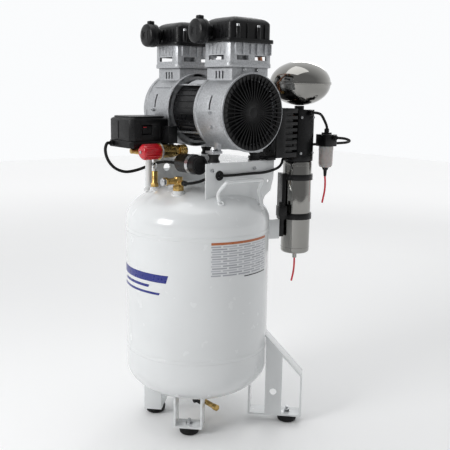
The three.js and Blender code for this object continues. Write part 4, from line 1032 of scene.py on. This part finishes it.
def build_fan_covers():
    sizes = bpy.context.scene.compressor_sizes
    for side, sign in (("right", 1), ("left", -1)):
        node = "fan_guard_" + side
        outer = high(node).x if sign > 0 else low(node).x
        centre = Vector((outer - sign * 0.006, SHAFT.y, SHAFT.z))
        rim = turned([(0.0795, 0), (0.0879, 0), (0.0879, 0.0044), (0.0925, 0.0046), (0.0925, 0.0056),
                      (0.0915, 0.0062), (0.0865, 0.0056), (0.082, 0.0045), (0.0795, 0.0035), (0.0795, 0)],
                     centre, RIGHT * sign, 96)
        hub = turned([(0, 0.001), (0.0125, 0.001), (0.0135, 0.002), (0.0135, 0.0052), (0.0125, 0.0066),
                      (0.004, 0.0074), (0, 0.0074)], centre, RIGHT * sign, 64)
        hoops = [ring(centre + RIGHT * sign * 0.0028, RIGHT, radius, 0.0011) for radius in (0.038, 0.058)]
        first = block((-0.0011, 0.0125, 0.0012), (0.0011, 0.0905, 0.0076), 0.0005)
        ribs = [first]
        for i in range(1, sizes.guard_ribs):
            rib = copied(first)
            rib.data.transform(Matrix.Rotation(i / sizes.guard_ribs * 2 * math.pi, 4, "Z"))
            ribs.append(rib)
        grille = moved(joined(ribs), centre, RIGHT * sign)
        done(joined([rim, hub, *hoops, grille]), f"fan_guard_{side}_grille", "black_plastic", stands_for=(node,))


def build_inner_pieces():
    """Frame nodes that keep their own shape: shaft, pistons and fans."""
    dressed = {"rotor_shaft": "steel", "piston_right": "cast_aluminium", "piston_left": "cast_aluminium",
               "end_fan_right": "black_plastic", "end_fan_left": "black_plastic", "cooler_fan": "black_plastic"}
    for node, slot in dressed.items():
        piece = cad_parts[node]
        for holder in piece.material_slots:
            holder.material = finish_for(slot)


# ------------------------------------------------------------------ aftercooler and pipe


def build_cooler():
    sizes = bpy.context.scene.compressor_sizes
    done(refined("aftercooler", sizes.edge), "aftercooler_core", "black_casting", stands_for=("aftercooler",))
    pipe_y = (high("cylinder_right").y + 0.005 - 0.006 + 0.0003 - AXIS.y) / MM
    z = (high("cylinder_right").z + 0.0003) / MM + 30
    cross = pipe_y + 24
    left, right = middle("cylinder_left").x / MM, middle("cylinder_right").x / MM
    run = tube([at(left, pipe_y, z), at(left, pipe_y + 12, z), at(left + 12, cross, z), at(left + 40, cross, z),
                at(right - 40, cross, z), at(right - 12, cross, z), at(right, pipe_y + 12, z),
                at(right, pipe_y, z)], 0.006, 10, 5)
    top = high("aftercooler").z / MM
    fan = middle("cooler_fan")
    x = fan.x / MM - 10
    seat = (low("aftercooler").y - AXIS.y) / MM + 24 + 22
    drop = tube([at(x, cross, z), at(x, cross + 8, z - 12), at(x, cross + 12, z - 60), at(x, seat, top + 30),
                 at(x, seat, top)], 0.006, 10, 5)
    done(joined([run, drop]), "discharge_pipe_bent", "copper", stands_for=("discharge_pipe",))
    nuts = [hex_nut(at(x, seat, top), UP, 0.019, 0.011, 0.007)]
    for side in (left, right):
        nuts.append(hex_nut(at(side, pipe_y - 0.5, z), -FRONT, 0.019, 0.010, 0.007))
    done(joined(nuts), "pipe_nuts", "brass")


# ------------------------------------------------------------------ pressure switch


def build_switch():
    sizes = bpy.context.scene.compressor_sizes
    done(refined("switch_base", sizes.edge), "switch_base_moulding", "black_plastic", stands_for=("switch_base",))
    done(refined("switch_cover", 0.0022, 25), "switch_cover_moulding", "black_plastic", stands_for=("switch_cover",))
    done(refined("switch_rocker", 0.0006), "switch_rocker_key", "black_plastic", "switch_rocker", ("switch_rocker",))
    lo, hi = low("switch_rocker"), high("switch_rocker")
    # A thin red stripe on the rocker: painted reflection of the red regulator knob in the switch's glossy recess.
    line = block((hi.x - 0.0012, lo.y + 0.003, hi.z - 0.004), (hi.x + 0.0004, hi.y - 0.016, hi.z - 0.0025), 0.0003)
    done(line, "switch_rocker_knob_reflection", "red_plastic", "switch_rocker")
    lo, hi = low("switch_cover"), high("switch_cover")
    crown = grown(Vector(((lo.x + hi.x) / 2, (lo.y + hi.y) / 2, hi.z - 0.0095)), (0.11, 0.114), 0.011,
                  [(0.003, 0.108, 0.112), (0.0034, 0.094, 0.1), (0.0026, 0.068, 0.078), (0.0014, 0.034, 0.044)])
    frame_front = block((hi.x - 0.001, lo.y + 0.027, lo.z + 0.006), (hi.x + 0.0012, lo.y + 0.031, hi.z - 0.014), 0.0006)
    frame_back = block((hi.x - 0.001, hi.y - 0.034, lo.z + 0.006), (hi.x + 0.0012, hi.y - 0.03, hi.z - 0.014), 0.0006)
    rib = block((lo.x + 0.048, lo.y - 0.0012, lo.z + 0.004), (lo.x + 0.051, lo.y + 0.001, hi.z - 0.012), 0.0006)
    done(joined([crown, frame_front, frame_back, rib]), "switch_cover_crown", "black_plastic")
    corners = [(Vector((hi.x - 0.012, hi.y - 0.012, hi.z - 0.0075)), UP), (Vector((lo.x + 0.012, lo.y + 0.012, hi.z - 0.0075)), UP)]
    screws("switch_cover_screws", corners, 0.003)
    centre = Vector((middle("switch_cover").x - 0.035, low("switch_base").y, low("switch_base").z + 0.0087))
    nut = turned([(0.0045, 0), (0.0062, 0), (0.0075, 0.002), (0.0075, 0.009), (0.0045, 0.009), (0.0045, 0)],
                 centre, -FRONT, 40)
    done(nut, "cable_gland_nut", "black_plastic")


# ------------------------------------------------------------------ regulator and outlet


def build_regulator():
    sizes = bpy.context.scene.compressor_sizes
    done(refined("regulator_manifold", 0.0009), "regulator_manifold_body", "brass", stands_for=("regulator_manifold",))
    build_knob(sizes)
    done(refined("outlet_coupler", 0.0006), "outlet_coupler_body", "brass", stands_for=("outlet_coupler",))
    lo, hi, mid = low("coupler_sleeve"), high("coupler_sleeve"), middle("coupler_sleeve")
    length = hi.y - lo.y
    outer = (hi.x - lo.x) / 2
    profile = [(0.0123, 0), (outer - 0.001, 0), (outer, 0.001)]
    for groove in range(4):
        y = 0.005 + groove * 0.0034
        profile += [(outer, y), (outer - 0.0007, y + 0.0006), (outer - 0.0007, y + 0.0012), (outer, y + 0.0018)]
    profile += [(outer, length - 0.001), (outer - 0.001, length), (0.0123, length), (0.0123, 0)]
    sleeve = turned(profile, Vector((mid.x, lo.y, mid.z)), -FRONT, 64)
    done(sleeve, "coupler_sleeve_knurled", "brass", "coupler_sleeve", ("coupler_sleeve",))


def build_knob(sizes):
    """The red regulator knob with grip flutes and a pale lock ring behind it."""
    lo, hi, mid = low("regulator_knob"), high("regulator_knob"), middle("regulator_knob")
    length = hi.y - lo.y
    radius = 0.019
    place = Vector((mid.x, lo.y, mid.z))
    body = turned([(0, 0.0006), (0.012, 0), (0.0142, 0.0005), (0.0172, 0.0034), (radius - 0.0008, 0.007), (radius - 0.0006, length - 0.002),
                   (radius - 0.0016, length), (0, length)], place, -FRONT, 72)
    first = block((-0.0016, radius - 0.0022, 0.0065), (0.0016, radius + 0.001, length - 0.003), 0.0009)
    ridges = [first]
    for i in range(1, sizes.knob_flutes):
        ridge = copied(first)
        ridge.data.transform(Matrix.Rotation(i / sizes.knob_flutes * 2 * math.pi, 4, "Z"))
        ridges.append(ridge)
    grip = moved(joined(ridges), place, -FRONT)
    done(joined([body, grip]), "regulator_knob_grip", "red_plastic", "regulator_knob", ("regulator_knob",))
    port = turned([(0, 0.0002), (0.0036, 0.0002), (0.0036, 0.004), (0, 0.004)], place - UP * 0 - Vector((0, 0.0032, 0)), -FRONT, 32)
    done(port, "knob_screw", "steel", "regulator_knob")
    lock = turned([(0.017, 0), (0.0212, 0), (0.0218, 0.0008), (0.0218, 0.0042), (0.0212, 0.005), (0.017, 0.005),
                   (0.017, 0)], Vector((mid.x, hi.y + 0.0004, mid.z)), -FRONT, 64)
    done(lock, "regulator_lock_ring", "steel")


# ------------------------------------------------------------------ valves


def build_valves():
    for node, edge in (("check_valve", 0.0007), ("safety_valve", 0.0005), ("drain_valve", 0.0006)):
        done(refined(node, edge), node + "_body", "brass", stands_for=(node,))
    ring_lo, ring_hi, ring_mid = low("safety_pull_ring"), high("safety_pull_ring"), middle("safety_pull_ring")
    centre = Vector((ring_mid.x, ring_mid.y, ring_hi.z - 0.0102))
    loop = ring(centre, FRONT, 0.009, 0.0012)
    clip = turned([(0.0029, 0), (0.0043, 0), (0.0045, 0.0004), (0.0045, 0.0058), (0.0029, 0.0063), (0.0029, 0)],
                  Vector((ring_mid.x, ring_mid.y, ring_lo.z)), UP, 40)
    done(joined([loop, clip]), "safety_ring_wire", "steel", "safety_pull_ring", ("safety_pull_ring",))
    done(refined("drain_handle", 0.0007), "drain_handle_lever", "black_plastic", "drain_handle", ("drain_handle",))
    body = middle("check_valve")
    nut = hex_nut(Vector((body.x - 0.0, low("check_valve").y - 0.0005, high("check_valve").z - 0.0105)), FRONT,
                  0.017, 0.007, 0.005)
    done(nut, "check_valve_nut", "steel")


# ------------------------------------------------------------------ capacitor and cable


def build_capacitor():
    lo, hi, mid = low("run_capacitor"), high("run_capacitor"), middle("run_capacitor")
    radius = (hi.z - lo.z) / 2
    length = hi.x - lo.x
    can = turned([(0, 0), (radius - 0.0055, 0), (radius - 0.004, 0.0015), (radius - 0.004, 0.006), (radius - 0.001, 0.0064),
                  (radius, 0.0085), (radius, length - 0.002), (radius - 0.002, length), (radius - 0.005, length),
                  (radius - 0.006, length - 0.001), (0, length - 0.001)], Vector((lo.x, mid.y, mid.z)), RIGHT, 72)
    done(can, "capacitor_can", "black_plastic", stands_for=("run_capacitor",))
    band = turned([(radius + 0.0002, 0), (radius + 0.0014, 0), (radius + 0.0014, 0.012), (radius + 0.0002, 0.012),
                   (radius + 0.0002, 0)], Vector((mid.x + 0.01, mid.y, mid.z)), RIGHT, 64)
    tab = block((mid.x + 0.01, mid.y, DECK_TOP - 0.0045), (mid.x + 0.022, AXIS.y - 0.03, DECK_TOP - 0.0032), 0.0004)
    tab.data.transform(Matrix.Translation((0, 0, 0)))
    done(joined([band, tab]), "capacitor_clamp", "steel")


def build_cable():
    """The motor cable: out of the gland, down in a loop, and back under the deck to the capacitor."""
    cover = middle("switch_cover") - AXIS
    x, z = cover.x / MM - 35, (low("switch_base").z / MM) - 0.3 + 9
    start = (low("switch_base").y - AXIS.y) / MM - 0.3
    end, can = low("run_capacitor").x / MM - 0.3, middle("run_capacitor") - AXIS
    y, high_z = can.y / MM, can.z / MM
    route = [(x, start, z), (x, start - 8, z), (x, start - 14, z - 14), (x + 1, start - 9, z - 40),
             (x + 3, start + 10, z - 64), (x + 6, start + 39, z - 76), (x + 9, start + 70, z - 74),
             (x + 15, start + 100, z - 65), (x + 30, start + 115, z - 56), (x + 68, start + 126, z - 49),
             (end - 35, y + 2, high_z - 4), (end - 12, y, high_z - 6), (end, y, high_z - 6)]
    cable = tube([at(*point) for point in route], 0.004, 8, 4)
    done(cable, "motor_cable_sheath", "rubber", stands_for=("motor_cable",))


# ------------------------------------------------------------------ dryer


def vessel_profile(radius, height):
    half = height / 2
    points = ellipse_quarter(radius - 0.002, half, half, 18, False)[:-1]
    rim = [(radius - 0.002, half - 0.004), (radius - 0.0004, half - 0.0036), (radius, half - 0.002),
           (radius, half + 0.002), (radius - 0.0004, half + 0.0036), (radius - 0.002, half + 0.004)]
    return points + rim + [(r, height - z) for r, z in reversed(points)]


def build_dryer():
    sizes = bpy.context.scene.compressor_sizes
    lo, hi, mid = low("condenser_vessel"), high("condenser_vessel"), middle("condenser_vessel")
    vessel = turned(vessel_profile((hi.x - lo.x) / 2, hi.z - lo.z), Vector((mid.x, mid.y, lo.z)), UP, 120)
    done(vessel, "condenser_vessel_polished", "chrome", stands_for=("condenser_vessel",))
    build_canister()
    for node, edge in (("dryer_head", 0.0014), ("canister_bracket", 0.0007)):
        slot = "black_casting" if node == "dryer_head" else "black_paint"
        done(refined(node, edge), node + "_body", slot, stands_for=(node,))
    build_dryer_fittings()


def build_canister():
    lo, hi, mid = low("dryer_canister"), high("dryer_canister"), middle("dryer_canister")
    radius = (hi.x - lo.x) / 2
    tail = 0.018
    height = hi.z - lo.z
    profile = [(0, 0), (0.0048, 0), (0.006, 0.001), (0.006, 0.013), (0.0085, 0.0145), (0.012, 0.018),
               (radius - 0.008, tail), (radius - 0.004, tail + 0.0012), (radius - 0.001, tail + 0.0042),
               (radius, tail + 0.008), (radius, height - 0.005), (radius - 0.001, height - 0.002),
               (radius - 0.003, height), (0, height)]
    body = turned(profile, Vector((mid.x, mid.y, lo.z)), UP, 96)
    bands = [ring(Vector((mid.x, mid.y, lo.z + z)), UP, radius, 0.0006) for z in (tail + 0.016, height - 0.012)]
    done(joined([body, *bands]), "dryer_canister_polished", "chrome", stands_for=("dryer_canister",))


def build_dryer_fittings():
    """Screws in the head, the elbow over the aftercooler and the nickel fittings below it."""
    lo, hi = low("dryer_head"), high("dryer_head")
    face = Vector((DRYER.x + 0.032, DRYER.y, 0))
    places = [(face + Vector((0, y, z)), RIGHT) for y in (-0.022, 0.022) for z in (lo.z + 0.022, hi.z - 0.03)]
    screws("dryer_head_screws", places, 0.0034)
    front = DRYER.y - 0.032
    elbow = tube([Vector((DRYER.x + 0.012, front, hi.z - 0.028)), Vector((DRYER.x + 0.012, front - 0.008, hi.z - 0.028)),
                  Vector((DRYER.x + 0.014, front - 0.016, hi.z - 0.036)),
                  Vector((DRYER.x + 0.015, front - 0.0165, hi.z - 0.062))], 0.0058, 8, 5)
    nut = hex_nut(Vector((DRYER.x + 0.015, front - 0.0165, hi.z - 0.068)), UP, 0.017, 0.01, 0.0062)
    done(joined([elbow, nut]), "dryer_inlet_elbow", "copper")
    low_fit = Vector((DRYER.x + 0.006, front - 0.012, lo.z + 0.018))
    body = rod(low_fit, low_fit + RIGHT * 0.026, 0.0052, 20, 0.0005)
    done(joined([body, hex_nut(low_fit, RIGHT, 0.014, 0.007, 0.005)]), "dryer_outlet_fitting", "brass")


def build_filter():
    sizes = bpy.context.scene.compressor_sizes
    done(refined("filter_head", 0.0012), "filter_head_body", "black_plastic", stands_for=("filter_head",))
    lo, hi, mid = low("filter_bowl"), high("filter_bowl"), middle("filter_bowl")
    height = hi.z - lo.z
    bottom = 0.026
    profile = [(0.0095, bottom - 0.002), (0.0158, bottom), (0.0182, bottom + 0.0035), (0.019, bottom + 0.01),
               (0.0196, height - 0.012), (0.02, height - 0.011), (0.02, height)]
    bowl = turned([(0, bottom - 0.003), *profile, (0, height)], Vector((mid.x, mid.y, lo.z)), UP, 72)
    done(bowl, "filter_bowl_clear", "bowl_plastic", stands_for=("filter_bowl",))
    nipple = turned([(0, 0), (0.0034, 0), (0.004, 0.0008), (0.005, 0.016), (0.0068, 0.018), (0.0095, 0.0235),
                     (0.0095, 0.0255), (0, 0.0255)], Vector((mid.x, mid.y, lo.z)), UP, 48)
    done(nipple, "filter_bowl_nipple", "black_plastic")
    build_hoses(sizes)


def build_hoses(sizes):
    """The three captive air hoses on the same routes as their solids, with a fitting at each open end."""
    x0, y0 = [v / MM for v in (DRYER - AXIS).xy]
    bowl = (middle("filter_bowl") - AXIS) / MM
    bowl_top = high("filter_bowl").z / MM + 0.3
    head_top = high("filter_head").z / MM
    dryer_top = low("condenser_vessel").z / MM - 10
    canister_top = high("dryer_canister").z / MM
    reach, gap, half = 32, 0.3, 22
    x, z = x0 + reach + gap, dryer_top - 8
    over = [(x, y0 + 8, z), (x + 8, y0 + 8, z), (x + 14, y0 + 34, z - 4), (bowl.x, bowl.y - 10, z - 22),
            (bowl.x, bowl.y, z - 40), (bowl.x, bowl.y, head_top + gap)]
    x1, z1, back, home = bowl.x + half + gap, bowl_top + 24, bowl.y + half, y0 + reach + gap
    hairpin = [(x1, bowl.y + 6, z1), (x1 + 10, bowl.y + 6, z1), (x1 + 24, bowl.y + 24, z1 - 2),
               (x1 + 22, back + 22, z1 - 8), (x1 + 4, back + 32, z1 - 14), (bowl.x - 2, back + 22, z1 - 18),
               (x0 + 14, back - 2, z1 - 21), (x0 + 4, home + 20, z1 - 22), (x0 + 4, home, z1 - 22)]
    side = high("motor_platform").x / MM
    px, py, pz = side + 3.6 + 5, -22, DECK_TOP / MM - 31
    start = y0 - 39.5 - 2 - gap
    valve = (high("check_valve") - AXIS) / MM
    vy, vz = -98, low("check_valve").z / MM + 20
    run = [(x0, start, canister_top + 7), (x0, start - 12, canister_top + 6), (x0 + 14, start - 30, canister_top - 4),
           (px, 162, pz + 10), (px, 122, pz + 2), (px, 60, pz + 1), (px, py + 40, pz), (px - 2, py + 12, pz),
           (side - 1.5, py, pz), (side - 14, py - 14, pz - 3), (side - 28, py - 42, vz + 4),
           (valve.x + 12.3, vy, vz), (valve.x + 0.3, vy, vz)]
    for node, route in (("filter_inlet_hose", over), ("filter_outlet_hose", hairpin), ("delivery_hose", run)):
        done(tube([at(*point) for point in route], 0.0036, 8, 4), node + "_smooth", "rubber", stands_for=(node,))
    ends = [(over[0], RIGHT), (over[-1], UP), (hairpin[0], RIGHT), (hairpin[-1], -FRONT), (run[-1], RIGHT)]
    collars = [turned([(0.0037, 0), (0.0062, 0), (0.0066, 0.0006), (0.0066, 0.008), (0.0055, 0.0105), (0.0037, 0.0105),
                       (0.0037, 0)], at(*point), way, 32) for point, way in ends]
    done(joined(collars), "hose_fittings", "black_plastic")
    gland = Vector((high("motor_platform").x, AXIS.y + py * MM, pz * MM))
    grommet = turned([(0.0045, -0.0036), (0.012, -0.0036), (0.0126, -0.003), (0.0104, -0.0026), (0.0104, 0), (0.0126, 0.0004),
                      (0.012, 0.0014), (0.0045, 0.0014), (0.0045, -0.0036)], gland, RIGHT, 48)
    done(grommet, "hose_grommet", "rubber")


# ------------------------------------------------------------------ labels


def wrapped(name, start, end, lowest, highest, proud=0.0003, lean=0.0):
    """A thin vinyl patch on the tank's wall between two angles and two heights, with its own UV map."""
    across, rows = 40, 6
    radius = TANK_RADIUS + proud
    points, faces, uvs = [], [], []
    for j in range(rows + 1):
        for i in range(across + 1):
            u, v = i / across, j / rows
            turn = math.radians(start + (end - start) * u + lean * v)
            points.append(AXIS + Vector((radius * math.cos(turn), radius * math.sin(turn), lowest + (highest - lowest) * v)))
            uvs.append((u, v))
    for j in range(rows):
        for i in range(across):
            corner = j * (across + 1) + i
            faces.append((corner, corner + 1, corner + across + 2, corner + across + 1))
    mesh = bpy.data.meshes.new(name)
    mesh.from_pydata(points, [], faces)
    layer = mesh.uv_layers.new(name="UVMap")
    for loop in mesh.loops:
        layer.data[loop.index].uv = uvs[loop.vertex_index]
    piece = bpy.data.objects.new(name, mesh)
    bpy.context.scene.collection.objects.link(piece)
    return smooth(piece, 60)


def curved_plate(name, centre, radius, half_width, start, end):
    """A thin plate bent round the shaft's axis, from one angle to another (180 degrees is the front, 90 the top)."""
    steps = 16
    points, faces, uvs = [], [], []
    for i in range(steps + 1):
        turn = math.radians(start + (end - start) * i / steps)
        out = Vector((0, math.cos(turn), math.sin(turn))) * radius
        for side in (-1, 1):
            points.append(centre + out + RIGHT * side * half_width)
            uvs.append(((side + 1) / 2, i / steps))
    for i in range(steps):
        faces.append((2 * i, 2 * i + 1, 2 * i + 3, 2 * i + 2))
    mesh = bpy.data.meshes.new(name)
    mesh.from_pydata(points, [], faces)
    layer = mesh.uv_layers.new(name="UVMap")
    for loop in mesh.loops:
        layer.data[loop.index].uv = uvs[loop.vertex_index]
    piece = bpy.data.objects.new(name, mesh)
    bpy.context.scene.collection.objects.link(piece)
    pick(piece)
    bpy.ops.object.mode_set(mode="EDIT")
    bpy.ops.mesh.select_all(action="SELECT")
    bpy.ops.mesh.normals_make_consistent(inside=False)
    bpy.ops.object.mode_set(mode="OBJECT")
    thick = piece.modifiers.new("thick", "SOLIDIFY")
    thick.thickness = 0.0006
    thick.offset = 0
    bpy.ops.object.modifier_apply(modifier=thick.name)
    return smooth(piece, 40)


def build_motor_plate():
    plate = curved_plate("motor_data_plate", SHAFT, 0.0812, 0.034, 104, 128)
    plate.data.materials.append(printed_label(bpy.context.scene.compressor_colours))
    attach(plate, "machine")


def build_labels():
    """A data label of plain blocks on the right, and a plain barred decal on the front."""
    colours = bpy.context.scene.compressor_colours
    label = wrapped("data_label", -26, 29, 0.440, 0.526)
    label.data.materials.append(printed_label(colours))
    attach(label, "machine")
    ink = decal_ink(colours)
    build_motor_plate()
    rule = wrapped("label_rule", 2, 29, 0.434, 0.4365, lean=0)
    rule.data.materials.append(finish_for("black_plastic"))
    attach(rule, "machine")
    bars = [wrapped("bar", -120, -60, 0.420, 0.440, lean=2), wrapped("bar", -112, -76, 0.404, 0.411, lean=1),
            wrapped("bar", -118, -66, 0.388, 0.394, lean=1)]
    decal = joined(bars)
    decal.name = "front_decal"
    decal.data.materials.append(ink)
    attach(decal, "machine")


# ------------------------------------------------------------------ operators


def operator(key, label, text, build):
    """Makes the operator class that builds one piece or one group of like pieces."""

    def execute(self, context):
        build()
        return {"FINISHED"}

    members = {"__doc__": text, "bl_idname": "compressor." + key, "bl_label": label,
               "bl_options": {"REGISTER", "UNDO"}, "execute": execute}
    return type("COMPRESSOR_OT_" + key, (bpy.types.Operator,), members)


STEPS = (
    operator("stage", "Stage", "Camera, lights and floor", build_stage),
    operator("drain_tubes", "Drain tubes", "The two hanging drain tubes", build_drain_tubes),
    operator("tank", "Tank", "Tank with its welds, bungs and riser", build_tank),
    operator("legs", "Legs and feet", "Folded legs, rubber feet and their nuts", build_legs),
    operator("handles", "Handles", "Two bent lifting handles", build_handles),
    operator("platform", "Motor deck", "Deck, isolators and their nuts", build_platform),
    operator("motor", "Motor", "Stator, tie rods and plate", build_motor),
    operator("crankcases", "Crankcases", "Two crankcase castings", build_crankcases),
    operator("cylinders", "Cylinders", "Two finned cylinder blocks", build_cylinders),
    operator("heads", "Cylinder heads", "Two domed heads and their screws", build_heads),
    operator("silencers", "Intake silencers", "Two intake silencers", build_filters),
    operator("fan_covers", "Fan covers", "Two ribbed fan covers", build_fan_covers),
    operator("inner_pieces", "Inner pieces", "Finishes for the shaft, pistons and fans", build_inner_pieces),
    operator("cooler", "Aftercooler", "Aftercooler and its pipe", build_cooler),
    operator("switch", "Pressure switch", "Switch base, cover and rocker", build_switch),
    operator("regulator", "Regulator", "Manifold, knob, coupler and sleeve", build_regulator),
    operator("valves", "Valves", "Check, safety and drain valves", build_valves),
    operator("capacitor", "Capacitor", "Run capacitor and its clamp", build_capacitor),
    operator("cable", "Motor cable", "The motor cable", build_cable),
    operator("dryer", "Dryer", "Vessel, canister, head and bracket", build_dryer),
    operator("air_filter", "Air filter", "Filter head, bowl and hoses", build_filter),
    operator("labels", "Labels", "Plain label and decal", build_labels),
)


class COMPRESSOR_PT_build(bpy.types.Panel):
    """Lists the steps in the sidebar."""

    bl_label = "Upright compressor"
    bl_space_type = "VIEW_3D"
    bl_region_type = "UI"
    bl_category = "Compressor"

    def draw(self, context):
        for step in STEPS:
            self.layout.operator(step.bl_idname)


CLASSES = (CompressorSizes, CompressorColours, *STEPS, COMPRESSOR_PT_build)


def register():
    for cls in CLASSES:
        bpy.utils.register_class(cls)
    bpy.types.Scene.compressor_sizes = bpy.props.PointerProperty(type=CompressorSizes)
    bpy.types.Scene.compressor_colours = bpy.props.PointerProperty(type=CompressorColours)


def unregister():
    del bpy.types.Scene.compressor_colours
    del bpy.types.Scene.compressor_sizes
    for cls in reversed(CLASSES):
        bpy.utils.unregister_class(cls)


def main():
    register()
    for step in STEPS:
        getattr(bpy.ops.compressor, step.bl_idname.split(".")[1])()
    deselect()


if __name__ == "__main__":
    main()
